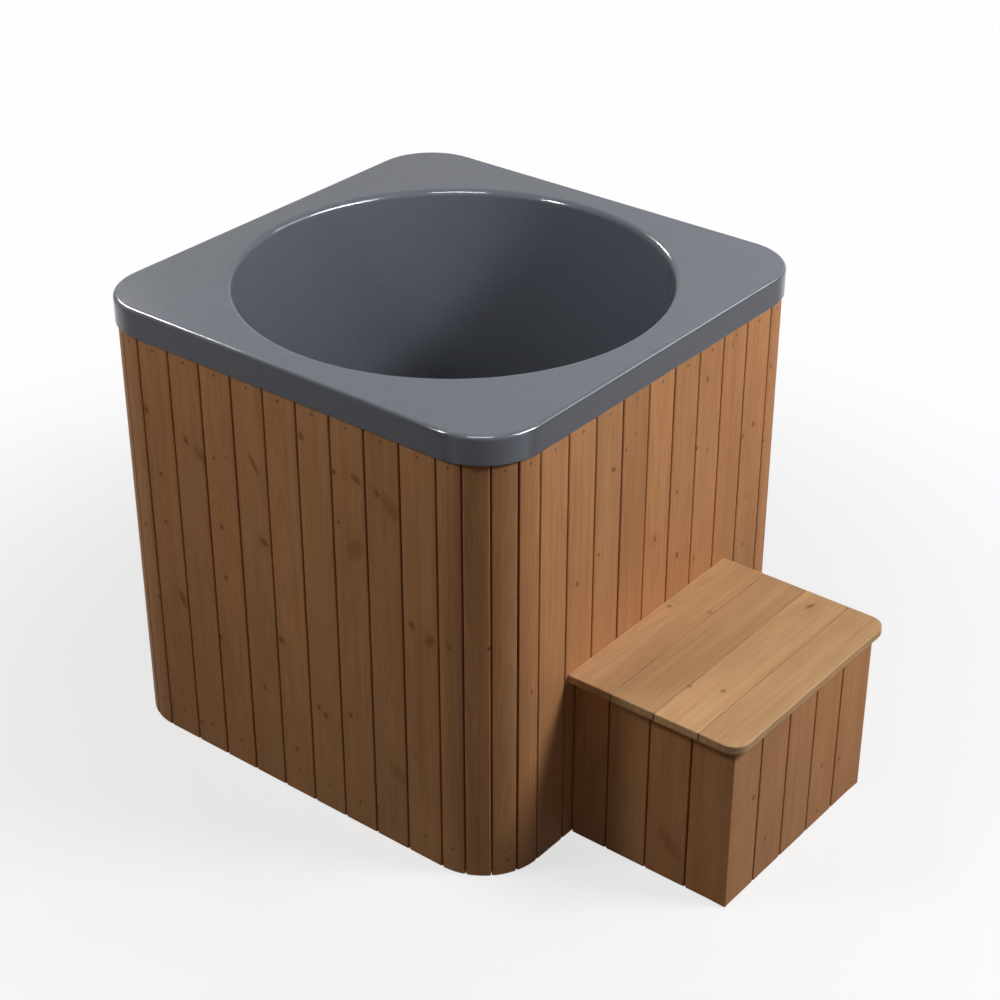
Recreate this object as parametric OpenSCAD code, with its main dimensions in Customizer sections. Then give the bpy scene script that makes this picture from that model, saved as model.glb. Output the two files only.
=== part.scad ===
// Cold plunge tub: moulded shell in a timber-clad square case, with a loose step box.
// Millimetres. The floor is z = 0, the tub is centred on x = y = 0, and the step stands on the -Y side.

/* [Tub case] */
// Width and depth of the case over the cladding
tub_w = 1000; // [940:5:1200]
// Height of the rim above the floor
tub_h = 964; // [850:2:1100]
// Outer radius of the rounded corners of the cladding
clad_corner_r = 130; // [110:2:160]
// Thickness of the cladding boards
board_t = 18; // [15:0.5:22]
// Width of the closing board that ends each flat side
closing_w = 84; // [70:1:110]
// Regular boards on each flat side
boards_per_side = 8; // [6:1:10]
// Staves round each corner
staves_per_corner = 4; // [3:1:6]
// Gap between the floor and the lower ends of the boards
board_floor_gap = 2; // [1:0.5:10]

/* [Board joints] */
// Open joint between neighbouring boards
seam_gap = 1.4; // [0.4:0.1:1.8]
// Bevel on the long outer edges of each board
seam_bevel = 2.4; // [0.8:0.1:2.6]
// Thickness of the tongue
tongue_t = 5; // [4:0.5:6]
// Length of the tongue
tongue_l = 6; // [4:0.5:8]
// Clearance round a tongue in its groove
tongue_clear = 0.3; // [0.2:0.05:0.6]

/* [Shell] */
// Overhang of the rim past the cladding
rim_overhang = 3; // [1:0.5:12]
// Corner radius of the rim
rim_corner_r = 128; // [105:1:165]
// Height of the turned-down skirt
skirt_h = 57; // [45:1:75]
// Laminate thickness
shell_t = 6; // [4.5:0.5:7]
// Rounding of the outer top edge of the rim
rim_edge_r = 8; // [7.5:0.5:14]
// Gap between the skirt and the tops of the boards
skirt_gap = 2; // [1:0.5:5]

/* [Bowl] */
// Width of the rim from its edge to the start of the rounded mouth, at its narrowest
rim_land = 60; // [54:1:80]
// Rounding of the bowl's mouth
mouth_round = 13; // [10:1:22]
// Slope of the bowl wall from the vertical, in degrees
wall_draft = 2.3; // [0.5:0.1:4]
// Height of the bowl floor above the ground
bowl_floor_z = 160; // [152:1:200]
// Rounding between the bowl wall and floor
floor_round = 90; // [60:1:120]

/* [Case frame] */
// Height of the base skids
skid_h = 45; // [38:1:50]
// Width of the base skids
skid_w = 95; // [70:1:120]
// Thickness of the plywood panel and rings
ply_t = 24; // [18:1:27]
// Width of the corner posts
post_w = 45; // [35:1:50]
// Width of the bearers under the bowl floor
bearer_w = 45; // [38:1:50]
// Thickness of the rim bearers
rim_bearer_t = 20; // [14:1:20]
// Thickness of the insulation round the bowl
insulation_t = 30; // [20:1:30]

/* [Nails] */
// Diameter of a nail head
nail_head_d = 4; // [3:0.5:5]
// Diameter of a nail shank
nail_d = 2.2; // [1.8:0.1:2.6]
// Length of a nail
nail_l = 36; // [30:1:40]

/* [Drain] */
// Outer diameter of the drain pipe
pipe_d = 40; // [32:1:42]
// Wall of the drain pipe and its fittings
pipe_wall = 3; // [2:0.5:4]
// Distance of the valve's middle from the cladding
valve_reach = 58; // [52:1:80]
// Length of the hose spout
spout_l = 43; // [30:1:60]
// Length of the valve lever from the stem
lever_l = 105; // [80:1:130]

/* [Step] */
// Width of the step box
step_w = 488; // [420:1:560]
// Distance of the step's middle from the tub's middle
step_shift = -16; // [-150:1:150]
// Height of the tread above the floor
step_h = 388; // [300:1:420]
// Depth of the step box
step_depth = 361.5; // [320:0.5:400]
// Thickness of the tread
tread_t = 18; // [16:0.5:24]
// Overhang of the tread at the sides and front
tread_overhang = 21; // [5:1:30]
// Rounding of the tread's two front corners
tread_corner_r = 35; // [20:1:45]
// Covering width of the tread boards
tread_board_w = 98; // [90:1:110]
// Covering width of the front boards of the step
step_front_board_w = 95.5; // [85:0.5:104]
// Covering width of the side boards of the step
step_side_board_w = 93; // [85:0.5:104]
// Width of the step's posts
step_post_w = 38; // [30:1:45]
// Thickness of the step's rails
step_rail_t = 28; // [20:1:30]
// Height of the step's rails
step_rail_h = 38; // [30:1:45]
// Gap between the step and the tub
step_gap = 0.5; // [0.3:0.1:0.9]
// Gap between neighbouring tread boards
tread_gap = 0.6; // [0.3:0.1:3]
// Bevel on the long upper edges of the tread boards
tread_bevel = 0.8; // [0.5:0.1:2]

/* [Hidden] */
$fn = 64;

// Fits
touch_gap = 0.3;
ring_gap = 0.5;
mitre_gap = 0.3;
past = 1;

// Case
half_w = tub_w / 2;
flat_w = tub_w - 2 * clad_corner_r;
board_w = (flat_w - closing_w) / boards_per_side;
stave_angle = 90 / staves_per_corner;
skirt_z = tub_h - skirt_h;
board_h = skirt_z - skirt_gap - board_floor_gap;
frame_w = tub_w - 2 * board_t;
frame_corner_r = clad_corner_r - board_t + 1;
arc_fn = 180;

// Shell
rim_w = tub_w + 2 * rim_overhang;
rim_c = rim_w / 2 - rim_corner_r;
rim_under_z = tub_h - shell_t;
mouth_r = rim_w / 2 - rim_land;
mouth_z = tub_h - mouth_round;
// The mouth's rounding runs into the wall here
wall_top = [
    mouth_r - mouth_round * cos(wall_draft),
    mouth_z + mouth_round * sin(wall_draft)
];
floor_flat_r = wall_top[0]
    - (floor_round + (wall_top[1] - bowl_floor_z - floor_round) * sin(wall_draft)) / cos(wall_draft);
floor_under_z = bowl_floor_z - shell_t;
arc_steps = 14;

// Plywood levels
panel_z = skid_h;
panel_top = panel_z + ply_t;
ring_top_z = skirt_z - skirt_gap;
ring_z = ring_top_z - ply_t;
middle_ring_z = (panel_top + ring_z) / 2;
nail_levels = [panel_z + ply_t / 2, ring_z + ply_t / 2];

// Posts and skids: how far the round corners of the case keep them in
post_inset = 0.38 * clad_corner_r;
post_c = half_w - board_t - post_w / 2 - post_inset;
skid_inset = 0.5 * clad_corner_r;
skid_x = frame_w / 2 - skid_w / 2 - skid_inset;
skid_l = frame_w - 0.3 * clad_corner_r;

// Supports under the bowl
support_r = floor_flat_r - 10;
drain_way_w = 2.3 * bearer_w;
bearer_space = 2.1 * bearer_w;
inner_bearer_x = drain_way_w / 2 + bearer_w / 2;
bearer_x = [inner_bearer_x, inner_bearer_x + bearer_w + bearer_space];
jacket_low_z = bowl_floor_z + floor_round + 5;

// Drain levels and radii
pipe_r = pipe_d / 2;
bore_r = pipe_r - pipe_wall;
fitting_r = pipe_r + 4;
flange_r = fitting_r + 16;
flange_t = 5;
gasket_t = 3;
nut_t = 12;
socket_wall = 4;
socket_r = pipe_r + socket_wall;
pipe_z = panel_top + socket_r + 1;
bend_r = pipe_r + 10;
bend_z = pipe_z + bend_r;
fitting_bottom_z = bend_z + 3;
plug_r = bore_r + 2.7;
plug_floor_z = bowl_floor_z - 9;
plug_top_z = bowl_floor_z + flange_t + 1;
elbow_socket_l = 24;
elbow_top_z = floor_under_z - gasket_t - nut_t - 1;
pipe_y0 = bend_r + 4 + touch_gap;
drain_way_r = 60;
cover_t = 5;

// Valve
valve_y = half_w + valve_reach;
ball_r = bore_r + 5;
ball_bore_r = bore_r - 1;
chamber_r = ball_r + 0.4;
chamber_half = ball_r - 3;
body_r = chamber_r + 7;
stem_r = 5;
stem_clear = 0.05;
bonnet_top = body_r + 14;
gland_t = 7;
lever_t = 3;
lever_w = 20;
lever_z = pipe_z + bonnet_top + gland_t + touch_gap;
spout_r = pipe_r - 4;
valve_inlet_y = valve_y - chamber_half - 6;
body_y0 = half_w + cover_t + 2;
body_y1 = valve_y + chamber_half + 12;

// Step
step_x0 = step_shift - step_w / 2;
step_x1 = step_shift + step_w / 2;
step_y1 = -half_w - step_gap;
step_y0 = step_y1 - step_depth;
tread_z = step_h - tread_t;
foot_t = 5;
foot_r = step_post_w / 2 - 3;
step_board_h = tread_z - board_floor_gap;
front_boards = 5;
side_boards = 4;
bottom_rail_z = 20;
rail_z = tread_z - step_rail_h;
inner_x0 = step_x0 + board_t;
inner_x1 = step_x1 - board_t;
inner_y0 = step_y0 + board_t;
tread_front_y = step_y0 - tread_overhang + 0.5;
screw_d = 4.5;
screw_head_d = 9;
screw_head_t = 4;
screw_clear = 0.15;
screw_l = 38;
screw_tip_z = step_h - 6;

// Three screws to each tread board, from below through the rails
side_rail_x = [inner_x0 + step_rail_t / 2, step_shift, inner_x1 - step_rail_t / 2];
front_rail_x = [step_shift - step_w / 4, step_shift, step_shift + step_w / 4];
front_rail_y = inner_y0 + step_rail_t / 2;
screw_places = concat(
    [for (i = [0 : 2], x = side_rail_x) [x, (tread_edge(i) + tread_edge(i + 1)) / 2]],
    [for (x = front_rail_x) [x, front_rail_y]]
);

wood_colour = "#8a5a3c";
tread_colour = "#c19a72";
gelcoat_colour = "#4d545e";
timber_colour = "#d8bd8c";
ply_colour = "#c8a878";
foam_colour = "#e9e2b8";
plastic_colour = "#9aa0a6";
seat_colour = "#f2f0ea";
grip_colour = "#b3261e";
brass_colour = "#b5a36a";
steel_colour = "#b9bcc0";
rubber_colour = "#1d1d1f";

// Points of an arc, both ends included
function arc_points(centre, radius, from, to) =
    [for (i = [0 : arc_steps])
        let (a = from + (to - from) * i / arc_steps)
        [centre[0] + radius * cos(a), centre[1] + radius * sin(a)]];

// Radius of the bowl's outer wall at a height
function wall_outer_r(z) =
    wall_top[0] + shell_t * cos(wall_draft)
    - (wall_top[1] - shell_t * sin(wall_draft) - z) * tan(wall_draft);

// Square with round corners
module rounded_square(width, radius) {
    core = width - 2 * radius;
    square([core, width], center = true);
    square([width, core], center = true);
    for (sx = [-1, 1], sy = [-1, 1])
        translate([sx * core / 2, sy * core / 2])
            circle(r = radius, $fn = arc_fn);
}

// Section of the rim from a corner's centre outwards: top laminate, rounded edge and skirt
module rim_section() {
    edge_c = [rim_corner_r - rim_edge_r, tub_h - rim_edge_r];
    polygon(concat(
        [[0, rim_under_z], [0, tub_h]],
        arc_points(edge_c, rim_edge_r, 90, 0),
        [[rim_corner_r, skirt_z], [rim_corner_r - shell_t, skirt_z]],
        arc_points(edge_c, rim_edge_r - shell_t, 0, 90)
    ));
}

// Section of the bowl: rounded mouth, sloping wall, rounded foot and flat floor
module bowl_section() {
    mouth_c = [mouth_r, mouth_z];
    foot_c = [floor_flat_r, bowl_floor_z + floor_round];
    hole_r = fitting_r + touch_gap;
    polygon(concat(
        arc_points(mouth_c, mouth_round, 90, 180 - wall_draft),
        arc_points(foot_c, floor_round, -wall_draft, -90),
        [[hole_r, bowl_floor_z], [hole_r, floor_under_z]],
        arc_points(foot_c, floor_round + shell_t, -90, -wall_draft),
        arc_points(mouth_c, mouth_round - shell_t, 180 - wall_draft, 90)
    ));
}

module rim_plate() {
    side_l = 2 * rim_c;
    difference() {
        union() {
            translate([-rim_c, -rim_c, rim_under_z])
                cube([side_l, side_l, shell_t]);
            for (k = [0 : 3])
                rotate([0, 0, 90 * k]) {
                    translate([rim_c, rim_c, 0])
                        rotate_extrude(angle = 90, $fn = arc_fn)
                            rim_section();
                    translate([rim_c, rim_c, 0])
                        rotate([90, 0, 0])
                            linear_extrude(side_l)
                                rim_section();
                }
        }
        translate([0, 0, rim_under_z - past])
            cylinder(r = mouth_r, h = shell_t + 2 * past, $fn = arc_fn);
    }
}

module bowl_shell() {
    color(gelcoat_colour)
        union() {
            rim_plate();
            rotate_extrude($fn = arc_fn)
                bowl_section();
        }
}

// Outline of a board from above: outer face on y = 0, inner face on y = board_t.
// Each long edge is plain, mitred, or has its half of the tongue and groove joint.
module board_outline(width, left, right) {
    g = seam_gap / 2;
    m = mitre_gap / 2;
    tongue_y = (board_t - tongue_t) / 2;
    groove_y = tongue_y - tongue_clear;
    groove_d = tongue_l - seam_gap + tongue_clear;
    left_edge =
        left == "groove" ? [
            [g, board_t], [g, board_t - groove_y], [g + groove_d, board_t - groove_y],
            [g + groove_d, groove_y], [g, groove_y], [g, seam_bevel], [g + seam_bevel, 0]
        ] :
        left == "mitre" ? [[board_t + m, board_t], [m, 0]] :
        [[g, board_t], [g, seam_bevel], [g + seam_bevel, 0]];
    right_edge =
        right == "tongue" ? [
            [width - g - seam_bevel, 0], [width - g, seam_bevel],
            [width - g, tongue_y], [width - g + tongue_l, tongue_y],
            [width - g + tongue_l, board_t - tongue_y], [width - g, board_t - tongue_y], [width - g, board_t]
        ] :
        right == "mitre" ? [[width - m, 0], [width - m - board_t, board_t]] :
        [[width - g - seam_bevel, 0], [width - g, seam_bevel], [width - g, board_t]];
    polygon(concat(left_edge, right_edge));
}

// Outline of a corner stave, its middle on the +X axis of the corner's centre
module stave_outline() {
    half = stave_angle / 2;
    g = seam_gap / 2;
    inner_r = clad_corner_r - board_t;
    out = 8;
    function side_point(side, along, inwards) = [
        along * cos(half) + inwards * sin(half),
        side * (along * sin(half) - inwards * cos(half))
    ];
    intersection() {
        difference() {
            circle(r = clad_corner_r, $fn = arc_fn);
            circle(r = inner_r, $fn = arc_fn);
        }
        polygon([
            [g / sin(half), 0],
            side_point(-1, clad_corner_r - seam_bevel, g),
            side_point(-1, clad_corner_r + out, g + seam_bevel + out),
            side_point(1, clad_corner_r + out, g + seam_bevel + out),
            side_point(1, clad_corner_r - seam_bevel, g)
        ]);
    }
}

// A nail along +Y with its head on y = 0; grow widens it for the hole it sits in
module nail(grow = 0) {
    lead = grow > 0 ? past : 0;
    rotate([-90, 0, 0]) {
        translate([0, 0, -lead])
            cylinder(d = nail_head_d + grow, h = 1.2 + grow + lead, $fn = 24);
        cylinder(d = nail_d + grow, h = nail_l + grow, $fn = 24);
    }
}

// Middle of each board on a flat side, from the side's first corner
function board_middle(i) =
    i < boards_per_side ? (i + 0.5) * board_w : boards_per_side * board_w + closing_w / 2;

// Nails, or the holes for them, of the boards numbered first to last on the -Y side
module side_nails(first, last, grow = 0) {
    for (i = [first : last], z = nail_levels)
        translate([-flat_w / 2 + board_middle(i), -half_w, z])
            nail(grow);
}

// Nails, or the holes for them, of the corner between the -Y and +X sides
module corner_nails(grow = 0) {
    for (i = [0 : staves_per_corner - 1], z = nail_levels)
        translate([flat_w / 2, -flat_w / 2, z])
            rotate([0, 0, (i + 0.5) * stave_angle])
                translate([0, -clad_corner_r, 0])
                    nail(grow);
}

module all_nails(grow = 0) {
    for (k = [0 : 3])
        rotate([0, 0, 90 * k]) {
            side_nails(0, boards_per_side, grow);
            corner_nails(grow);
        }
}

// The back wall's opening for the drain pipe
module pipe_opening() {
    translate([0, half_w - board_t - past, pipe_z])
        rotate([-90, 0, 0])
            cylinder(r = pipe_r + 1, h = board_t + 2 * past);
}

module cladding_boards(k) {
    color(wood_colour)
        difference() {
            rotate([0, 0, 90 * k])
                difference() {
                    for (i = [0 : boards_per_side - 1])
                        translate([-flat_w / 2 + i * board_w, -half_w, board_floor_gap])
                            linear_extrude(board_h)
                                board_outline(board_w, "groove", "tongue");
                    side_nails(0, boards_per_side - 1, 0.2);
                }
            if (k == 2)
                pipe_opening();
        }
}

module closing_board(k) {
    color(wood_colour)
        rotate([0, 0, 90 * k])
            difference() {
                translate([flat_w / 2 - closing_w, -half_w, board_floor_gap])
                    linear_extrude(board_h)
                        board_outline(closing_w, "groove", "plain");
                side_nails(boards_per_side, boards_per_side, 0.2);
            }
}

module corner_staves(k) {
    color(wood_colour)
        rotate([0, 0, 90 * k])
            difference() {
                for (i = [0 : staves_per_corner - 1])
                    translate([flat_w / 2, -flat_w / 2, board_floor_gap])
                        rotate([0, 0, (i + 0.5) * stave_angle - 90])
                            linear_extrude(board_h)
                                stave_outline();
                corner_nails(0.2);
            }
}

module cladding_nails() {
    color(steel_colour)
        all_nails();
}

// A plywood sheet of the case's inner outline
module ply_sheet(z) {
    translate([0, 0, z])
        linear_extrude(ply_t)
            rounded_square(frame_w, frame_corner_r);
}

module post_squares(grow = 0) {
    for (sx = [-1, 1], sy = [-1, 1])
        translate([sx * post_c, sy * post_c])
            square(post_w + grow, center = true);
}

// The bowl's way through a plywood ring at height z
module ring_hole(z) {
    translate([0, 0, z - past])
        cylinder(r = wall_outer_r(z + ply_t) + ring_gap, h = ply_t + 2 * past, $fn = arc_fn);
}

module top_ring() {
    color(ply_colour)
        difference() {
            ply_sheet(ring_z);
            ring_hole(ring_z);
            all_nails(0.2);
        }
}

module middle_ring() {
    color(ply_colour)
        difference() {
            ply_sheet(middle_ring_z);
            ring_hole(middle_ring_z);
            translate([0, 0, middle_ring_z - past])
                linear_extrude(ply_t + 2 * past)
                    post_squares(2 * touch_gap);
        }
}

module base_panel() {
    color(ply_colour)
        difference() {
            ply_sheet(panel_z);
            all_nails(0.2);
        }
}

module corner_posts() {
    color(timber_colour)
        translate([0, 0, panel_top])
            linear_extrude(ring_z - panel_top)
                post_squares();
}

module rim_bearers() {
    bearer_l = flat_w - 2 * rim_bearer_t;
    color(timber_colour)
        for (k = [0 : 3])
            rotate([0, 0, 90 * k])
                translate([-bearer_l / 2, -frame_w / 2, ring_top_z])
                    cube([bearer_l, rim_bearer_t, rim_under_z - ring_top_z]);
}

module rim_corner_blocks() {
    color(timber_colour)
        translate([0, 0, ring_top_z])
            linear_extrude(rim_under_z - ring_top_z)
                post_squares();
}

module skid(x) {
    color(timber_colour)
        translate([x - skid_w / 2, -skid_l / 2, 0])
            cube([skid_w, skid_l, skid_h]);
}

// Plan of the bearers under the bowl, each as long as the round support allows
module bearer_plan() {
    for (s = [-1, 1], x = bearer_x) {
        reach = sqrt(pow(support_r, 2) - pow(x + bearer_w / 2, 2));
        translate([s * x, 0])
            square([bearer_w, 2 * reach], center = true);
    }
}

module bowl_floor_bearers() {
    color(timber_colour)
        translate([0, 0, panel_top])
            linear_extrude(floor_under_z - panel_top)
                bearer_plan();
}

// Foam blocks between the bearers, with a free way for the drain behind the middle
module floor_insulation() {
    foam_end = 2 * support_r;
    color(foam_colour)
        translate([0, 0, panel_top])
            linear_extrude(floor_under_z - panel_top)
                difference() {
                    circle(r = support_r, $fn = arc_fn);
                    for (s = [-1, 1], x = bearer_x)
                        translate([s * x, 0])
                            square([bearer_w + 2 * touch_gap, foam_end], center = true);
                    translate([-drain_way_w / 2, -drain_way_r])
                        square([drain_way_w, foam_end]);
                }
}

// Foam sleeve round the sloping bowl wall between two heights
module wall_jacket(z0, z1) {
    inner0 = wall_outer_r(z0) + touch_gap;
    inner1 = wall_outer_r(z1) + touch_gap;
    color(foam_colour)
        rotate_extrude($fn = arc_fn)
            polygon([
                [inner0, z0], [inner0 + insulation_t, z0],
                [inner1 + insulation_t, z1], [inner1, z1]
            ]);
}

module lower_wall_insulation() {
    wall_jacket(jacket_low_z, middle_ring_z - touch_gap);
}

module upper_wall_insulation() {
    wall_jacket(middle_ring_z + ply_t + touch_gap, ring_z - touch_gap);
}

// Flanged fitting through the bowl floor, with a seat for the plug and a cross below it
module drain_fitting() {
    bar = 3;
    cross_z = plug_floor_z - 8;
    color(plastic_colour)
        union() {
            rotate_extrude()
                polygon(concat(
                    [
                        [bore_r, fitting_bottom_z], [fitting_r, fitting_bottom_z],
                        [fitting_r, bowl_floor_z], [flange_r, bowl_floor_z]
                    ],
                    arc_points([flange_r - 3, bowl_floor_z + flange_t - 3], 3, 0, 90),
                    [
                        [plug_r + touch_gap + 2, bowl_floor_z + flange_t],
                        [plug_r + touch_gap, bowl_floor_z + flange_t - 2],
                        [plug_r + touch_gap, plug_floor_z], [bore_r, plug_floor_z]
                    ]
                ));
            intersection() {
                translate([0, 0, cross_z])
                    cylinder(r = bore_r + 1, h = bar);
                union() {
                    translate([-pipe_r, -bar / 2, cross_z])
                        cube([2 * pipe_r, bar, bar]);
                    translate([-bar / 2, -pipe_r, cross_z])
                        cube([bar, 2 * pipe_r, bar]);
                }
            }
        }
}

module drain_gasket() {
    color(rubber_colour)
        translate([0, 0, floor_under_z - gasket_t])
            difference() {
                cylinder(r = flange_r - 2, h = gasket_t);
                translate([0, 0, -past])
                    cylinder(r = fitting_r + touch_gap, h = gasket_t + 2 * past);
            }
}

module drain_nut() {
    color(plastic_colour)
        translate([0, 0, floor_under_z - gasket_t - nut_t])
            difference() {
                cylinder(r = flange_r - 1, h = nut_t, $fn = 8);
                translate([0, 0, -past])
                    cylinder(r = fitting_r + 0.1, h = nut_t + 2 * past);
            }
}

module drain_plug() {
    lug_w = 5;
    color(rubber_colour)
        difference() {
            union() {
                translate([0, 0, plug_floor_z + touch_gap])
                    cylinder(r = plug_r, h = plug_top_z - plug_floor_z - touch_gap);
                translate([-lug_w / 2, -5, plug_top_z - 0.5])
                    cube([lug_w, 10, 7]);
            }
            translate([-lug_w, 0, plug_top_z + 3.5])
                rotate([0, 90, 0])
                    cylinder(r = 1.5, h = 2 * lug_w, $fn = 24);
        }
}

// Wire ring through the plug's lug, lying over to one side
module plug_ring() {
    ring_r = 11;
    wire_r = 1.2;
    color(steel_colour)
        translate([0, ring_r, plug_top_z + 3.5])
            rotate_extrude()
                translate([ring_r, 0])
                    circle(r = wire_r, $fn = 24);
}

// One size of the elbow's path, from above the vertical socket to past the horizontal one
module elbow_path(radius, down, along) {
    translate([0, 0, bend_z])
        cylinder(r = radius, h = down);
    translate([0, bend_r, bend_z])
        rotate([0, -90, 0])
            rotate([0, 0, 180])
                rotate_extrude(angle = 90)
                    translate([bend_r, 0])
                        circle(r = radius);
    translate([0, bend_r, pipe_z])
        rotate([-90, 0, 0])
            cylinder(r = radius, h = along);
}

module drain_elbow() {
    color(plastic_colour)
        difference() {
            union() {
                elbow_path(bore_r + socket_wall, 3, 4);
                translate([0, 0, bend_z])
                    cylinder(r = fitting_r + socket_wall, h = elbow_top_z - bend_z);
                translate([0, bend_r, pipe_z])
                    rotate([-90, 0, 0])
                        cylinder(r = socket_r, h = elbow_socket_l);
            }
            elbow_path(bore_r, 6, 6);
            translate([0, 0, fitting_bottom_z - touch_gap])
                cylinder(r = fitting_r + 0.1, h = elbow_top_z);
            translate([0, bend_r + 4, pipe_z])
                rotate([-90, 0, 0])
                    cylinder(r = pipe_r + 0.1, h = elbow_socket_l);
        }
}

module drain_pipe() {
    color(plastic_colour)
        translate([0, pipe_y0, pipe_z])
            rotate([-90, 0, 0])
                difference() {
                    cylinder(r = pipe_r, h = valve_inlet_y - touch_gap - pipe_y0);
                    translate([0, 0, -past])
                        cylinder(r = bore_r, h = tub_w);
                }
}

module pipe_cover_plate() {
    color(plastic_colour)
        translate([0, half_w, pipe_z])
            rotate([-90, 0, 0])
                rotate_extrude()
                    polygon(concat(
                        [[pipe_r + 0.1, 0], [pipe_r + 18, 0]],
                        arc_points([pipe_r + 15, cover_t - 3], 3, 0, 90),
                        [[pipe_r + 0.1, cover_t]]
                    ));
}

// Valve casting: round middle, eight-sided inlet, bonnet for the stem
module valve_body() {
    color(brass_colour)
        difference() {
            union() {
                translate([0, valve_y - chamber_half - 3, pipe_z])
                    rotate([-90, 0, 0])
                        cylinder(r = body_r, h = body_y1 - valve_y + chamber_half + 3);
                translate([0, body_y0, pipe_z])
                    rotate([-90, 0, 0])
                        rotate([0, 0, 22.5])
                            cylinder(r = pipe_r + 7, h = valve_y - chamber_half - body_y0, $fn = 8);
                translate([0, valve_y, pipe_z])
                    cylinder(r = 13, h = bonnet_top);
            }
            translate([0, body_y0 - past, pipe_z])
                rotate([-90, 0, 0])
                    cylinder(r = pipe_r + 0.1, h = valve_inlet_y - body_y0 + past);
            translate([0, body_y0, pipe_z])
                rotate([-90, 0, 0])
                    cylinder(r = bore_r, h = tub_w);
            translate([0, valve_y - chamber_half, pipe_z])
                rotate([-90, 0, 0])
                    cylinder(r = chamber_r, h = tub_w);
            translate([0, valve_y, pipe_z])
                cylinder(r = stem_r + stem_clear, h = bonnet_top + past);
        }
}

// Ring seats on both sides of the ball
module valve_seats() {
    near = sqrt(pow(ball_r + touch_gap, 2) - pow(bore_r, 2));
    color(seat_colour)
        for (s = [-1, 1])
            translate([0, valve_y, pipe_z])
                rotate([-90 * s, 0, 0])
                    translate([0, 0, near])
                        difference() {
                            cylinder(r = chamber_r - touch_gap, h = chamber_half - near);
                            translate([0, 0, -past])
                                cylinder(r = bore_r, h = chamber_half);
                        }
}

// Screwed end that holds the seats in, with the hose spout
module valve_end() {
    plug_y = valve_y + chamber_half;
    color(brass_colour)
        difference() {
            union() {
                translate([0, plug_y, pipe_z])
                    rotate([-90, 0, 0])
                        cylinder(r = chamber_r - 0.1, h = body_y1 - plug_y + 2);
                translate([0, body_y1 + touch_gap, pipe_z])
                    rotate([-90, 0, 0])
                        cylinder(r = body_r, h = 11, $fn = 6);
                translate([0, body_y1, pipe_z])
                    rotate([-90, 0, 0])
                        cylinder(r = spout_r, h = 11 + touch_gap + spout_l);
            }
            translate([0, plug_y - past, pipe_z])
                rotate([-90, 0, 0])
                    cylinder(r = spout_r - 3, h = tub_w);
        }
}

module valve_gland_nut() {
    color(brass_colour)
        translate([0, valve_y, pipe_z + bonnet_top])
            difference() {
                cylinder(r = 11, h = gland_t, $fn = 6);
                translate([0, 0, -past])
                    cylinder(r = stem_r + 0.1, h = gland_t + 2 * past);
            }
}

module valve_ball() {
    color(steel_colour)
        translate([0, valve_y, pipe_z])
            difference() {
                sphere(r = ball_r);
                rotate([0, 90, 0])
                    cylinder(r = ball_bore_r, h = 3 * ball_r, center = true);
                translate([0, 0, ball_bore_r + 1])
                    translate([-2.5, -ball_r, 0])
                        cube([5, 2 * ball_r, ball_r]);
            }
}

// Stem with a flat key in the ball's slot
module valve_stem() {
    key_z = ball_bore_r + 1 + touch_gap;
    key_top = ball_r + touch_gap;
    color(brass_colour)
        translate([0, valve_y, pipe_z])
            union() {
                translate([-2.3, -4, key_z])
                    cube([4.6, 8, key_top - key_z + past]);
                translate([0, 0, key_top])
                    cylinder(r = stem_r, h = bonnet_top + gland_t + touch_gap + lever_t + 7 - key_top);
            }
}

module valve_lever() {
    color(steel_colour)
        translate([0, valve_y, lever_z])
            linear_extrude(lever_t)
                difference() {
                    union() {
                        circle(r = 13);
                        translate([0, -lever_w / 2])
                            square([lever_l - lever_w / 2, lever_w]);
                        translate([lever_l - lever_w / 2, 0])
                            circle(r = lever_w / 2);
                    }
                    circle(r = stem_r + 0.1);
                }
}

// Plastic sleeve over the lever's end
module lever_grip() {
    wall = 2.5;
    grip_from = lever_l * 0.42;
    sleeve_w = lever_w + 2 * wall + 0.4;
    color(grip_colour)
        translate([0, valve_y, 0])
            difference() {
                translate([0, 0, lever_z - wall])
                    linear_extrude(lever_t + 2 * wall) {
                        translate([grip_from, -sleeve_w / 2])
                            square([lever_l - lever_w / 2 - grip_from, sleeve_w]);
                        translate([lever_l - lever_w / 2, 0])
                            circle(r = sleeve_w / 2);
                    }
                translate([0, 0, lever_z - 0.1])
                    linear_extrude(lever_t + 0.2) {
                        translate([grip_from - past, -lever_w / 2 - 0.2])
                            square([lever_l - lever_w / 2 - grip_from + past, lever_w + 0.4]);
                        translate([lever_l - lever_w / 2, 0])
                            circle(r = lever_w / 2 + 0.2);
                    }
            }
}

module lever_nut() {
    color(steel_colour)
        translate([0, valve_y, lever_z + lever_t])
            difference() {
                cylinder(r = 9, h = 5, $fn = 6);
                translate([0, 0, -past])
                    cylinder(r = stem_r + 0.1, h = 5 + 2 * past);
            }
}

module step_front_boards() {
    last_w = step_w - (front_boards - 1) * step_front_board_w;
    color(wood_colour)
        for (i = [0 : front_boards - 1])
            translate([step_x0 + i * step_front_board_w, step_y0, board_floor_gap])
                linear_extrude(step_board_h)
                    board_outline(
                        i == front_boards - 1 ? last_w : step_front_board_w,
                        i == 0 ? "mitre" : "groove",
                        i == front_boards - 1 ? "mitre" : "tongue"
                    );
}

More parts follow.
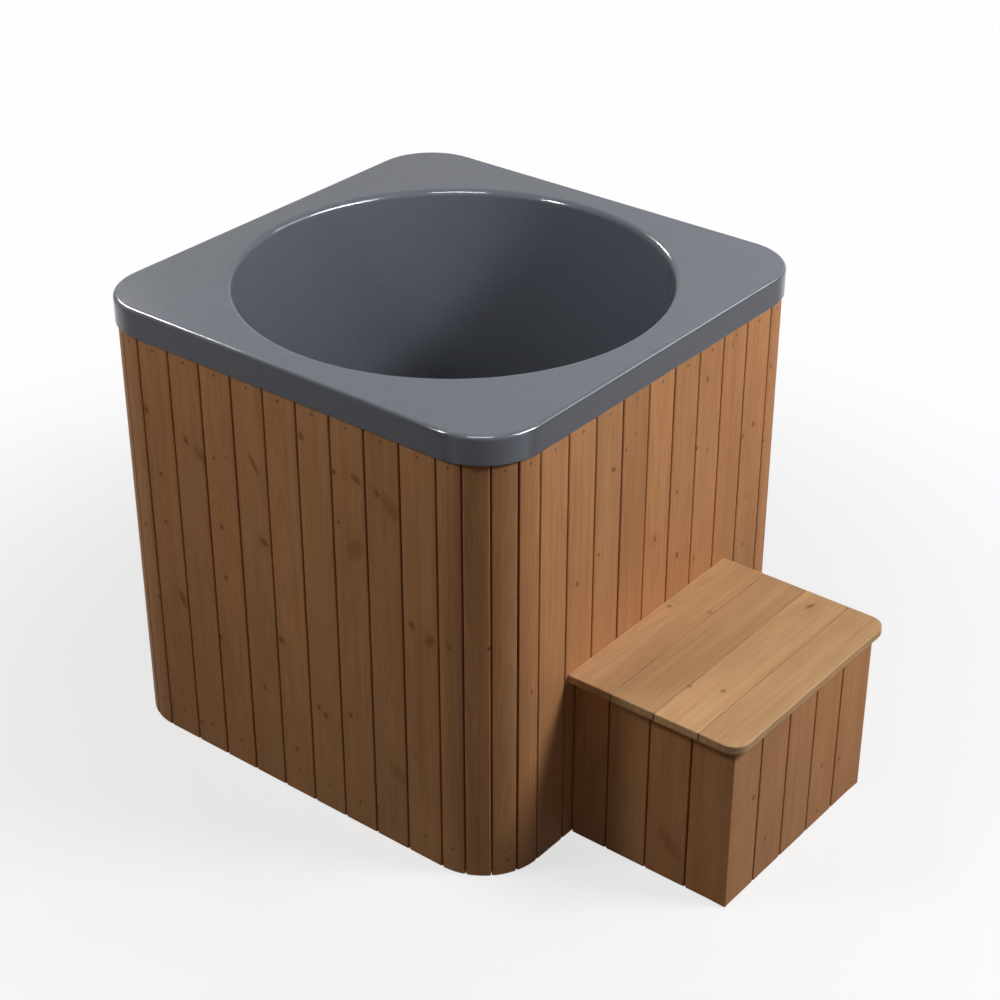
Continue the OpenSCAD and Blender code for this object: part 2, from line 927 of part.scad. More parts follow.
// Side walls: full boards from the front corner back, a narrower one at the tub
module step_left_boards() {
    first_w = step_depth - (side_boards - 1) * step_side_board_w;
    color(wood_colour)
        translate([step_x0, step_y1, board_floor_gap])
            rotate([0, 0, -90])
                for (i = [0 : side_boards - 1])
                    translate([i == 0 ? 0 : first_w + (i - 1) * step_side_board_w, 0, 0])
                        linear_extrude(step_board_h)
                            board_outline(
                                i == 0 ? first_w : step_side_board_w,
                                i == 0 ? "plain" : "groove",
                                i == side_boards - 1 ? "mitre" : "tongue"
                            );
}

module step_right_boards() {
    last_w = step_depth - (side_boards - 1) * step_side_board_w;
    color(wood_colour)
        translate([step_x1, step_y0, board_floor_gap])
            rotate([0, 0, 90])
                for (i = [0 : side_boards - 1])
                    translate([i * step_side_board_w, 0, 0])
                        linear_extrude(step_board_h)
                            board_outline(
                                i == side_boards - 1 ? last_w : step_side_board_w,
                                i == 0 ? "mitre" : "groove",
                                i == side_boards - 1 ? "plain" : "tongue"
                            );
}

// Rear and front edge of each tread board, counted from the tub
function tread_edge(i) = i < 4 ? step_y1 - i * tread_board_w : tread_front_y;

// Bevelled board across the step; the front one has round corners
module tread_board(i) {
    y1 = tread_edge(i) - (i == 0 ? 0 : tread_gap / 2);
    y0 = tread_edge(i + 1) + (i == 3 ? 0 : tread_gap / 2);
    x0 = step_x0 - tread_overhang;
    x1 = step_x1 + tread_overhang;
    color(tread_colour)
        difference() {
            intersection() {
                translate([x0, 0, 0])
                    rotate([90, 0, 90])
                        linear_extrude(x1 - x0)
                            polygon([
                                [y0, tread_z], [y1, tread_z],
                                [y1, step_h - tread_bevel], [y1 - tread_bevel, step_h],
                                [y0 + tread_bevel, step_h], [y0, step_h - tread_bevel]
                            ]);
                translate([0, 0, tread_z - past])
                    linear_extrude(tread_t + 2 * past)
                        tread_plan(x0, x1, i == 3 ? tread_corner_r : 0);
            }
            for (p = screw_places)
                if (p[1] > y0 && p[1] < y1)
                    translate([p[0], p[1], screw_tip_z - screw_l - past])
                        cylinder(d = screw_d + 2 * screw_clear, h = screw_l + past + touch_gap, $fn = 24);
        }
}

// Plan of the whole tread, with the two front corners rounded
module tread_plan(x0, x1, radius) {
    if (radius > 0) {
        translate([x0, tread_front_y + radius])
            square([x1 - x0, step_depth]);
        translate([x0 + radius, tread_front_y])
            square([x1 - x0 - 2 * radius, 2 * radius]);
        for (x = [x0 + radius, x1 - radius])
            translate([x, tread_front_y + radius])
                circle(r = radius, $fn = arc_fn);
    } else {
        translate([x0 - past, tread_front_y])
            square([x1 - x0 + 2 * past, step_depth + tread_overhang + past]);
    }
}

module post_at_corners(side) {
    for (x = [inner_x0, inner_x1 - side], y = [inner_y0, step_y1 - side])
        translate([x, y, 0])
            children();
}

module step_posts() {
    color(timber_colour)
        post_at_corners(step_post_w)
            translate([0, 0, foot_t])
                cube([step_post_w, step_post_w, tread_z - foot_t]);
}

module step_feet() {
    color(rubber_colour)
        post_at_corners(step_post_w)
            translate([step_post_w / 2, step_post_w / 2, 0])
                cylinder(r = foot_r, h = foot_t);
}

// Rails between the posts at one height, left, right and front, and at the back if asked
module rail_frame(z, with_back) {
    span_x = inner_x1 - inner_x0 - 2 * step_post_w;
    span_y = step_y1 - inner_y0 - 2 * step_post_w;
    for (x = [inner_x0, inner_x1 - step_rail_t])
        translate([x, inner_y0 + step_post_w, z])
            cube([step_rail_t, span_y, step_rail_h]);
    translate([inner_x0 + step_post_w, inner_y0, z])
        cube([span_x, step_rail_t, step_rail_h]);
    if (with_back)
        translate([inner_x0 + step_post_w, step_y1 - step_rail_t, z])
            cube([span_x, step_rail_t, step_rail_h]);
}

module screw_holes() {
    for (p = screw_places)
        translate([p[0], p[1], rail_z - past]) {
            cylinder(d = screw_d + 2 * screw_clear, h = step_rail_h + 2 * past, $fn = 24);
            cylinder(d = screw_head_d + 2 * screw_clear, h = screw_tip_z - screw_l - rail_z + past, $fn = 24);
        }
}

module step_top_rails() {
    color(timber_colour)
        difference() {
            rail_frame(rail_z, true);
            screw_holes();
        }
}

module step_middle_bearer() {
    color(timber_colour)
        difference() {
            translate([step_shift - step_rail_t / 2, inner_y0 + step_rail_t, rail_z])
                cube([step_rail_t, step_y1 - inner_y0 - 2 * step_rail_t, step_rail_h]);
            screw_holes();
        }
}

module step_bottom_rails() {
    color(timber_colour)
        rail_frame(bottom_rail_z, true);
}

module tread_screws() {
    color(steel_colour)
        for (p = screw_places)
            translate([p[0], p[1], screw_tip_z - screw_l]) {
                cylinder(d = screw_d, h = screw_l, $fn = 24);
                translate([0, 0, -screw_head_t])
                    cylinder(d = screw_head_d, h = screw_head_t, $fn = 24);
            }
}

bowl_shell();
cladding_boards(0);  // front_cladding_boards
cladding_boards(1);  // right_cladding_boards
cladding_boards(2);  // back_cladding_boards
cladding_boards(3);  // left_cladding_boards
closing_board(0);  // front_closing_board
closing_board(1);  // right_closing_board
closing_board(2);  // back_closing_board
closing_board(3);  // left_closing_board
corner_staves(0);  // front_right_corner_staves
corner_staves(1);  // back_right_corner_staves
corner_staves(2);  // back_left_corner_staves
corner_staves(3);  // front_left_corner_staves
cladding_nails();
top_ring();
middle_ring();
base_panel();
corner_posts();
rim_bearers();
rim_corner_blocks();
skid(-skid_x);  // left_skid
skid(0);  // middle_skid
skid(skid_x);  // right_skid
bowl_floor_bearers();
floor_insulation();
lower_wall_insulation();
upper_wall_insulation();
drain_fitting();
drain_gasket();
drain_nut();
drain_plug();
plug_ring();
drain_elbow();
drain_pipe();
pipe_cover_plate();
valve_body();
valve_seats();
valve_end();
valve_gland_nut();
valve_ball();
valve_stem();
valve_lever();
lever_grip();
lever_nut();
step_front_boards();
step_left_boards();
step_right_boards();
tread_board(0);  // back_tread_board
tread_board(1);  // second_tread_board
tread_board(2);  // third_tread_board
tread_board(3);  // front_tread_board
step_posts();
step_top_rails();
step_bottom_rails();
step_middle_bearer();
step_feet();
tread_screws();
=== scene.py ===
import math
import random

import bmesh
import bpy
from mathutils import Matrix, Vector


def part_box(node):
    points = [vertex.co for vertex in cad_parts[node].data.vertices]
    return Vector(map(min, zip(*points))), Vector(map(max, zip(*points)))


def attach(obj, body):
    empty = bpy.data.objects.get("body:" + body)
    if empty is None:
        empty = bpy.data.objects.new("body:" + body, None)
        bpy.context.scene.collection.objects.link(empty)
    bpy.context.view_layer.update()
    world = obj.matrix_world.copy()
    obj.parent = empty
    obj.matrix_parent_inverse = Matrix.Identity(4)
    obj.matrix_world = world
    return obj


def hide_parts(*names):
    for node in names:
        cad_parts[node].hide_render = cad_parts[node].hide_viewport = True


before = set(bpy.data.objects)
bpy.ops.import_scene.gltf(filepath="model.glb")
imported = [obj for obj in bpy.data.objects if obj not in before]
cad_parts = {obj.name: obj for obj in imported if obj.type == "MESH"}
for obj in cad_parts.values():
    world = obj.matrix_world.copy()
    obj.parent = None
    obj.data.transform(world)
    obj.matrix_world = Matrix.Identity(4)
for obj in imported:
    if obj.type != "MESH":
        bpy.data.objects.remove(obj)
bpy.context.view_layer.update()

MM = 0.001

# Main sizes, read from the frame's own nodes, in metres
shell_low, shell_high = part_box("bowl_shell")
front_low, front_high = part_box("front_cladding_boards")
closing_low, closing_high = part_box("front_closing_board")
step_low, step_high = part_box("step_front_boards")
step_side_low, step_side_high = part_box("step_left_boards")
tread_low, tread_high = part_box("front_tread_board")
back_tread_low, back_tread_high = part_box("back_tread_board")

RIM_HALF = shell_high[0]
RIM_TOP = shell_high[2]
CASE_HALF = -front_low[1]
BOARD_LOW = front_low[2]
BOARD_LENGTH = front_high[2] - front_low[2]

# Sizes of the cladding that the nodes' boxes don't give
BOARD_T = 18 * MM
SEAM_GAP = 1.4 * MM
SEAM_BEVEL = 2.4 * MM
BOARDS_PER_SIDE = 8
STAVES_PER_CORNER = 4
CORNER_R = 130 * MM
FLAT_HALF = CASE_HALF - CORNER_R
CLOSING_COVER = closing_high[0] - closing_low[0] + SEAM_GAP
BOARD_COVER = (2 * FLAT_HALF - CLOSING_COVER) / BOARDS_PER_SIDE
TONGUE_T = 5 * MM
TONGUE_L = 6 * MM
TONGUE_CLEAR = 0.3 * MM
ARRIS_R = 0.6 * MM
NAIL_LEVELS = (57 * MM, 893 * MM)
NAIL_HEAD_R = 2.1 * MM
NAIL_R = 1.1 * MM
NAIL_L = 36 * MM

# Sizes of the moulded shell
RIM_CORNER_R = 128 * MM
SKIRT_LOW = 907 * MM
SHELL_T = 6 * MM
RIM_EDGE_R = 8 * MM
MOUTH_R = 443 * MM
MOUTH_ROUND = 13 * MM
WALL_DRAFT = math.radians(2.3)
FLOOR_Z = 160 * MM
FLOOR_ROUND = 90 * MM
FLOOR_HOLE_R = 24.3 * MM

# Sizes of the step
STEP_FRONT_COVER = 95.5 * MM
STEP_SIDE_COVER = 93 * MM
STEP_FRONT_BOARDS = 5
STEP_SIDE_BOARDS = 4
MITRE_GAP = 0.3 * MM
TREAD_COVER = 98 * MM
TREAD_GAP = 0.6 * MM
TREAD_SEAM_R = 0.9 * MM
TREAD_EDGE_R = 2.2 * MM
TREAD_CORNER_R = 35 * MM

# Camera: where it stands, the way it looks and its lens
CAMERA_PLACE = (-2.970, -2.475, 2.732)
CAMERA_TURN = math.radians(-51.53)
CAMERA_PITCH = math.radians(59.50)
CAMERA_LENS = 78.05

# Lamps: degrees round from +x and up as seen from the rim, distance, width, height and power
LAMP_TARGET = Vector((0, 0, RIM_TOP))
LAMPS = {
    "key": (-71, 33, 3.4, 1.0, 0.8, 94.0),
    "left_back": (154, 41, 3.4, 0.6, 0.7, 42.0),
    "right_back": (60, 34, 8.0, 1.2, 0.9, 40.0)
}
# Lamps that only show in gloss, for the bright lines on rounded edges
GLOSS_LAMPS = {
    "key_gloss": (-73, 33, 6.0, 3.8, 2.1, 1600.0),
    "left_back_gloss": (154, 42, 3.0, 0.45, 0.6, 140.0),
    "right_back_gloss": (60, 31, 8.0, 1.2, 0.9, 280.0),
    "over_camera_gloss": (-145, 60, 3.4, 1.3, 0.8, 200.0),
    "right_gloss": (-38, 27, 6.0, 2.4, 1.2, 150.0)
}
DOME_LEVEL = 0.06
# The floor's grey as the camera sees it lit, and as the object gets light from it
FLOOR_LIT = 0.86
FLOOR_BOUNCE = 0.12

# How much of the floor's own light and shade the camera sees, near the tub and far from it
FLOOR_SHADE_NEAR = 0.30
FLOOR_SHADE_FAR = 0.02
FLOOR_SHADE_START = 0.6
FLOOR_SHADE_END = 2.0


# Small helpers for meshes

def new_piece(name, points, faces, body, replaces, sharp=math.radians(35)):
    """Makes a mesh object with outward normals that rides on a body and stands for CAD nodes."""
    mesh = bpy.data.meshes.new(name)
    mesh.from_pydata(points, [], faces)
    work = bmesh.new()
    work.from_mesh(mesh)
    bmesh.ops.recalc_face_normals(work, faces=work.faces)
    work.to_mesh(mesh)
    work.free()
    mesh.shade_smooth()
    mesh.set_sharp_from_angle(angle=sharp)
    piece = bpy.data.objects.new(name, mesh)
    bpy.context.scene.collection.objects.link(piece)
    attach(piece, body)
    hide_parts(*replaces)
    return piece


def set_material(piece, material):
    """Gives a piece one material in all its slots."""
    if not piece.data.materials:
        piece.data.materials.append(material)
    for i in range(len(piece.data.materials)):
        piece.data.materials[i] = material


def arc(centre, radius, start, end, steps):
    """Points of an arc in a plane, angles in degrees, both ends included."""
    points = []
    for i in range(steps + 1):
        angle = math.radians(start + (end - start) * i / steps)
        points.append((centre[0] + radius * math.cos(angle), centre[1] + radius * math.sin(angle)))
    return points


def bridge(loops, closed=False):
    """Points and quads of a skin over loops of equal length, each loop a ring of points."""
    count = len(loops[0])
    points = [point for loop in loops for point in loop]
    faces = []
    spans = len(loops) if closed else len(loops) - 1
    for loop in range(spans):
        here = loop * count
        there = (loop + 1) % len(loops) * count
        for i in range(count):
            j = (i + 1) % count
            faces.append((here + i, here + j, there + j, there + i))
    return points, faces


def soften(outline, radius, steps=3, support=1.5 * MM):
    """Rounds the corners of a closed outline, with a point beside each rounding on a long side."""
    corners = [Vector(corner) for corner in outline]
    softened = []
    for i, corner in enumerate(corners):
        back = corners[i - 1] - corner
        ahead = corners[(i + 1) % len(corners)] - corner
        reach = min(radius, 0.4 * back.length, 0.4 * ahead.length)
        first = corner + back.normalized() * reach
        last = corner + ahead.normalized() * reach
        if back.length > 4 * support:
            softened.append(first + back.normalized() * support)
        for k in range(steps + 1):
            t = k / steps
            softened.append(first * (1 - t) ** 2 + corner * 2 * t * (1 - t) + last * t * t)
        if ahead.length > 4 * support:
            softened.append(last + ahead.normalized() * support)
    return softened


def inward_normals(outline):
    """Unit normals of a closed outline's points, towards its inside."""
    area = sum(a.x * b.y - b.x * a.y for a, b in zip(outline, outline[1:] + outline[:1]))
    side = 1 if area > 0 else -1
    normals = []
    for i in range(len(outline)):
        along = outline[(i + 1) % len(outline)] - outline[i - 1]
        normals.append(Vector((-along.y, along.x)).normalized() * side)
    return normals


def rounded_prism(outline, length, radii=None, steps=3, support=1.5 * MM):
    """A prism along the third axis, its end edges rounded by one radius for each point of its outline."""
    outline = [Vector(point) for point in outline]
    radii = radii or [ARRIS_R] * len(outline)
    normals = inward_normals(outline)

    def ring(inset, level):
        """The outline moved inwards, where inset and level are worked out from each point's radius."""
        return [
            (point.x + normal.x * inset(radius), point.y + normal.y * inset(radius), level(radius))
            for point, normal, radius in zip(outline, normals, radii)
        ]

    low = [ring(lambda r: r + support, lambda r: 0.0)]
    high = [ring(lambda r: r + support, lambda r: length)]
    for k in range(steps + 1):
        side = 1 - math.sin(math.pi / 2 * k / steps)
        rise = 1 - math.cos(math.pi / 2 * k / steps)
        low.append(ring(lambda r: r * side, lambda r: r * rise))
        high.append(ring(lambda r: r * side, lambda r: length - r * rise))
    low.append(ring(lambda r: 0.0, lambda r: r + support))
    high.append(ring(lambda r: 0.0, lambda r: length - r - support))
    points, faces = bridge(low + high[::-1])
    count = len(outline)
    faces.append(tuple(range(count)))
    faces.append(tuple(range(len(points) - count, len(points))))
    return [Vector(point) for point in points], faces


# Materials

class Tree:
    """The node tree of a new material or world, with short ways to add what is used here."""

    def __init__(self, name, kind="Material"):
        blocks = {"Material": bpy.data.materials, "World": bpy.data.worlds}
        self.block = blocks[kind].new(name)
        self.block.use_nodes = True
        self.tree = self.block.node_tree
        self.tree.nodes.clear()
        self.output = self.add(f"ShaderNodeOutput{kind}")

    def add(self, kind, **settings):
        node = self.tree.nodes.new(kind)
        for key, value in settings.items():
            setattr(node, key, value)
        return node

    def put(self, value, socket):
        """Links a socket's value, or sets a plain one."""
        if isinstance(value, bpy.types.NodeSocket):
            self.tree.links.new(value, socket)
        else:
            socket.default_value = value

    def math(self, operation, *values, clamp=False):
        node = self.add("ShaderNodeMath", operation=operation, use_clamp=clamp)
        for value, socket in zip(values, node.inputs):
            self.put(value, socket)
        return node.outputs[0]

    def vector(self, operation, *values):
        node = self.add("ShaderNodeVectorMath", operation=operation)
        for value, socket in zip(values, node.inputs):
            self.put(value, socket)
        return node.outputs[0]

    def scale(self, vector, factor):
        node = self.add("ShaderNodeVectorMath", operation="SCALE")
        self.put(vector, node.inputs[0])
        self.put(factor, node.inputs["Scale"])
        return node.outputs[0]

    def combine(self, x, y, z):
        node = self.add("ShaderNodeCombineXYZ")
        for value, socket in zip((x, y, z), node.inputs):
            self.put(value, socket)
        return node.outputs[0]

    def split(self, vector):
        node = self.add("ShaderNodeSeparateXYZ")
        self.put(vector, node.inputs[0])
        return node.outputs

    def place(self):
        """The point in metres, which is the same in the object and in the frame."""
        return self.add("ShaderNodeTexCoord").outputs["Object"]

    def attribute(self, name):
        return self.add("ShaderNodeAttribute", attribute_name=name).outputs["Vector"]

    def noise(self, vector, scale=1.0, detail=2.0, roughness=0.5):
        node = self.add("ShaderNodeTexNoise")
        self.put(vector, node.inputs["Vector"])
        node.inputs["Scale"].default_value = scale
        node.inputs["Detail"].default_value = detail
        node.inputs["Roughness"].default_value = roughness
        return node.outputs["Fac"]

    def stretched_noise(self, vector, scales, shift=None, detail=2.0, roughness=0.5):
        """Noise with its own scale along each axis."""
        place = self.vector("MULTIPLY", vector, scales)
        if shift is not None:
            place = self.vector("ADD", place, shift)
        return self.noise(place, detail=detail, roughness=roughness)

    def span(self, value, low, high, new_low=0.0, new_high=1.0, smooth=False):
        """Maps low to new_low and high to new_high, held level outside them."""
        kind = "SMOOTHSTEP" if smooth else "LINEAR"
        node = self.add("ShaderNodeMapRange", interpolation_type=kind)
        for number, socket in zip((value, low, high, new_low, new_high), node.inputs):
            self.put(number, socket)
        return node.outputs[0]

    def bell(self, value, width):
        """1 where value is 0, falling to nothing over a few widths."""
        ratio = self.math("DIVIDE", value, width)
        return self.math("EXPONENT", self.math("MULTIPLY", self.math("MULTIPLY", ratio, ratio), -1.0))

    def length(self, first, second):
        """Length of the sum of two lengths at right angles."""
        square = self.math("ADD", self.math("MULTIPLY", first, first), self.math("MULTIPLY", second, second))
        return self.math("SQRT", square)

    def mix(self, factor, first, second, blend="MIX"):
        node = self.add("ShaderNodeMix", data_type="RGBA", blend_type=blend)
        colours = [socket for socket in node.inputs if socket.type == "RGBA"]
        self.put(factor, node.inputs[0])
        self.put(first, colours[0])
        self.put(second, colours[1])
        return [socket for socket in node.outputs if socket.type == "RGBA"][0]

    def bump(self, height, strength, distance, normal=None):
        node = self.add("ShaderNodeBump")
        node.inputs["Strength"].default_value = strength
        node.inputs["Distance"].default_value = distance
        self.put(height, node.inputs["Height"])
        if normal is not None:
            self.put(normal, node.inputs["Normal"])
        return node.outputs[0]

    def shader(self, kind, **inputs):
        """A shader by its node's name; the names of its inputs have _ for a space."""
        node = self.add(kind)
        for name, value in inputs.items():
            self.put(value, node.inputs[name.replace("_", " ")])
        return node.outputs[0]

    def shader_mix(self, factor, first, second):
        node = self.add("ShaderNodeMixShader")
        for value, socket in zip((factor, first, second), node.inputs):
            self.put(value, socket)
        return node.outputs[0]

    def seen(self):
        """1 for what is seen, straight or in gloss or through glass, and 0 for the light that is thrown."""
        path = self.add("ShaderNodeLightPath")
        seen = path.outputs["Is Camera Ray"]
        for ray in ("Is Glossy Ray", "Is Transmission Ray"):
            seen = self.math("MAXIMUM", seen, path.outputs[ray])
        return seen

    def end(self, shader):
        """Ends the tree with a shader and gives its material or world."""
        self.put(shader, self.output.inputs["Surface"])
        return self.block

    def surface(self, **inputs):
        """Ends the tree with the main shader."""
        return self.end(self.shader("ShaderNodeBsdfPrincipled", **inputs))


def rgb(red, green, blue):
    return (red, green, blue, 1.0)


KNOTS_PER_BOARD = 5
# In knot radii: how ragged a knot is, how far it bends the rings, where its core ends, and its bark
KNOT_RAGGED = 0.9
KNOT_REACH = 3.2
KNOT_CORE_EDGE = (1.65, 0.25)
KNOT_BARK = (1.05, 0.3)
# How much darker the wood is where the rings bend, for each metre that they are pushed aside
BEND_DARK = 30.0
# How far the rings wander, in metres
RING_WANDER = 0.035
# Where the stain round a nail head begins and where it is full
NAIL_STAIN = (5.0 * MM, 1.8 * MM)
# What is left of the wood's red, green and blue in a joint: painted shade in the seam, together with dirt and
# oil that gather there
JOINT_SHADE_AND_DIRT = rgb(0.55, 0.34, 0.18)


def growth_rings(t, radius, fibre, step):
    """How far a point lies into the dark part of its year ring, from 0 to 1."""
    rings = t.math("ADD", t.math("DIVIDE", radius, step), t.math("MULTIPLY", fibre, 0.3))
    part = t.math("FRACT", rings)
    rise = t.span(part, 0.30, 0.88, smooth=True)
    fall = t.span(part, 1.0, 0.92, smooth=True)
    return t.math("MULTIPLY", rise, fall)


def board_wood(name, early, late, knot_colour, ring_strength, nails=False):
    """Softwood sawn from a log: rings round a pith behind the board, fibre, streaks and knots."""
    t = Tree(name)
    grain = t.attribute("grain")
    across, depth, along = t.split(grain)
    joint_depth = t.split(t.attribute("joint"))[0]
    pith_across, pith_depth, tilt = t.split(t.attribute("log"))
    seed, tone, warmth = t.split(t.attribute("board"))
    ring_step, taper, _ = t.split(t.attribute("growth"))
    shift = t.scale((7.31, 3.17, 5.73), seed)

    ragged = t.math("SUBTRACT", t.stretched_noise(grain, (240, 240, 160), shift), 0.5)
    swell = 0.0
    core = 0.0
    bark = 0.0
    for k in range(KNOTS_PER_BOARD):
        knot_across, knot_along, knot_r = t.split(t.attribute(f"knot_{k}"))
        lean, stretch, force = t.split(t.attribute(f"shape_{k}"))
        off_across = t.math("SUBTRACT", across, knot_across)
        off_along = t.math("SUBTRACT", along, knot_along)
        cos = t.math("COSINE", lean)
        sin = t.math("SINE", lean)
        short = t.math("ADD", t.math("MULTIPLY", off_across, cos), t.math("MULTIPLY", off_along, sin))
        long = t.math("SUBTRACT", t.math("MULTIPLY", off_along, cos), t.math("MULTIPLY", off_across, sin))
        long = t.math("DIVIDE", long, stretch)
        far = t.math("DIVIDE", t.length(short, long), knot_r)
        far = t.math("ADD", far, t.math("MULTIPLY", ragged, KNOT_RAGGED))
        hill = t.math("MULTIPLY", t.bell(far, KNOT_REACH), knot_r)
        swell = t.math("ADD", swell, t.math("MULTIPLY", hill, force))
        inside = t.span(far, *KNOT_CORE_EDGE, smooth=True)
        core = t.math("MAXIMUM", core, t.math("MULTIPLY", inside, force))
        ring = t.bell(t.math("SUBTRACT", far, KNOT_BARK[0]), KNOT_BARK[1])
        bark = t.math("MAXIMUM", bark, t.math("MULTIPLY", ring, force))

    wander = t.math("SUBTRACT", t.stretched_noise(grain, (7.0, 7.0, 1.5), shift), 0.5)
    centre = t.math("ADD", pith_across, t.math("MULTIPLY", tilt, along))
    side = t.math("ADD", t.math("SUBTRACT", across, centre), t.math("MULTIPLY", wander, RING_WANDER))
    back = t.math("SUBTRACT", t.math("ADD", pith_depth, t.math("MULTIPLY", taper, along)), depth)
    radius = t.math("ADD", t.length(side, back), swell)
    fibre = t.stretched_noise(grain, (620.0, 620.0, 14.0), shift, 3.0, 0.6)
    latewood = growth_rings(t, radius, fibre, ring_step)
    year_place = t.combine(t.math("MULTIPLY", radius, 90.0), seed, t.math("MULTIPLY", along, 0.8))
    years = t.noise(year_place, detail=3.0)
    streak = t.stretched_noise(grain, (110.0, 110.0, 2.4), shift, 3.0, 0.6)
    cloud = t.stretched_noise(grain, (14.0, 14.0, 3.4), shift, 3.0, 0.6)

    dark = t.math("MULTIPLY", latewood, ring_strength)
    for noise, spread in ((years, 0.50), (streak, 0.85), (fibre, 0.55), (cloud, 1.0)):
        part = t.math("MULTIPLY", t.math("SUBTRACT", noise, 0.5), spread)
        dark = t.math("ADD", dark, part)
    dark = t.math("ADD", dark, t.math("MULTIPLY", swell, BEND_DARK))
    dark = t.math("ADD", dark, 0.42, clamp=True)
    colour = t.mix(dark, early, late)
    flush = t.stretched_noise(grain, (30.0, 30.0, 1.3), shift, 2.0)
    warm = t.math("ADD", warmth, t.math("SUBTRACT", flush, 0.5), clamp=True)
    colour = t.mix(warm, colour, rgb(1.0, 0.84, 0.72), "MULTIPLY")
    colour = t.mix(t.math("MULTIPLY", core, 0.92, clamp=True), colour, knot_colour)
    bark_colour = rgb(*(0.6 * value for value in knot_colour[:3]))
    colour = t.mix(t.math("MULTIPLY", bark, 0.18, clamp=True), colour, bark_colour)
    if nails:
        stain = 0.0
        for level in NAIL_LEVELS:
            off = t.math("SUBTRACT", along, level - BOARD_LOW)
            halo = t.span(t.length(off, across), *NAIL_STAIN, smooth=True)
            stain = t.math("MAXIMUM", stain, halo)
        colour = t.mix(t.math("MULTIPLY", stain, 0.5), colour, rgb(0.03, 0.018, 0.012))
    # Painted shade in the joints and bevels, deeper in means darker, along with their dirt
    colour = t.mix(t.span(joint_depth, 0.2 * MM, 2.0 * MM, smooth=True), colour, JOINT_SHADE_AND_DIRT, "MULTIPLY")
    colour = t.scale(colour, t.math("ADD", 1.0, tone))
    roughness = t.span(dark, 0.0, 1.0, 0.68, 0.54)
    height = t.math("ADD", t.math("MULTIPLY", latewood, 0.5), t.math("MULTIPLY", fibre, 0.6))
    normal = t.bump(height, 0.3, 0.3 * MM)
    return t.surface(Base_Color=colour, Roughness=roughness, Specular_IOR_Level=0.12, Normal=normal)


def plain_timber(name, scales):
    """Sawn framing timber in the frame's own coordinates; scales stretch it along its length."""
    t = Tree(name)
    place = t.vector("MULTIPLY", t.place(), scales)
    x, y, z = t.split(place)
    off = t.math("ADD", t.math("MULTIPLY", t.noise(place, 6.0), 0.05), 0.07)
    radius = t.length(t.length(t.math("ADD", x, off), t.math("ADD", y, off)), z)
    fibre = t.noise(place, 500.0, 3.0, 0.6)
    latewood = growth_rings(t, radius, fibre, 4 * MM)
    cloud = t.noise(place, 22.0, 3.0)
    dark = t.math("ADD", t.math("MULTIPLY", latewood, 0.45), t.math("MULTIPLY", fibre, 0.25))
    dark = t.math("ADD", dark, t.math("MULTIPLY", cloud, 0.3), clamp=True)
    colour = t.mix(dark, rgb(0.66, 0.46, 0.25), rgb(0.42, 0.25, 0.11))
    normal = t.bump(t.math("ADD", latewood, fibre), 0.4, 0.3 * MM)
    return t.surface(Base_Color=colour, Roughness=0.72, Specular_IOR_Level=0.25, Normal=normal)


def plywood():
    """Birch plywood: a plain face, and plies of turning grain on the edges."""
    t = Tree("plywood")
    place = t.place()
    _, _, z = t.split(place)
    ply_t = 3.4 * MM
    ply = t.math("FRACT", t.math("DIVIDE", z, ply_t))
    turned = t.math("GREATER_THAN", t.math("FRACT", t.math("DIVIDE", z, 2 * ply_t)), 0.5)
    face = t.stretched_noise(place, (9.0, 190.0, 9.0), None, 3.0, 0.6)
    speck = t.noise(place, 420.0)
    normal_z = t.split(t.add("ShaderNodeNewGeometry").outputs["Normal"])[2]
    is_edge = t.span(t.math("ABSOLUTE", normal_z), 0.9, 0.6)
    glue = t.math("MULTIPLY", t.math("LESS_THAN", ply, 0.12), is_edge)
    plain_grain = t.math("MULTIPLY", face, 0.6)
    end_grain = t.math("MULTIPLY", t.math("MULTIPLY", turned, is_edge), 0.35)
    dark = t.math("ADD", plain_grain, end_grain)
    dark = t.math("ADD", dark, t.math("MULTIPLY", speck, 0.2), clamp=True)
    colour = t.mix(dark, rgb(0.62, 0.45, 0.26), rgb(0.42, 0.27, 0.13))
    colour = t.mix(t.math("MULTIPLY", glue, 0.7), colour, rgb(0.12, 0.06, 0.03))
    normal = t.bump(face, 0.3, 0.3 * MM)
    return t.surface(Base_Color=colour, Roughness=0.6, Specular_IOR_Level=0.3, Normal=normal)


def foam():
    """Pale insulation foam with a fine cell."""
    t = Tree("insulation")
    place = t.place()
    cell = t.add("ShaderNodeTexVoronoi")
    cell.inputs["Scale"].default_value = 520.0
    t.put(place, cell.inputs["Vector"])
    broad = t.noise(place, 12.0, 3.0)
    dark = t.math("ADD", t.math("MULTIPLY", cell.outputs["Distance"], 0.5), t.math("MULTIPLY", broad, 0.5))
    colour = t.mix(dark, rgb(0.78, 0.72, 0.50), rgb(0.62, 0.52, 0.30))
    normal = t.bump(cell.outputs["Distance"], 0.5, 0.6 * MM)
    return t.surface(Base_Color=colour, Roughness=0.85, Specular_IOR_Level=0.2, Normal=normal)


# Painted shade on the gelcoat: how much of its colour is left on the skirt, and at a low level in the bowl
SKIRT_PAINTED_SHADE = 0.55
BOWL_PAINTED_SHADE = 0.74
BOWL_PAINTED_SHADE_LOW = 540 * MM


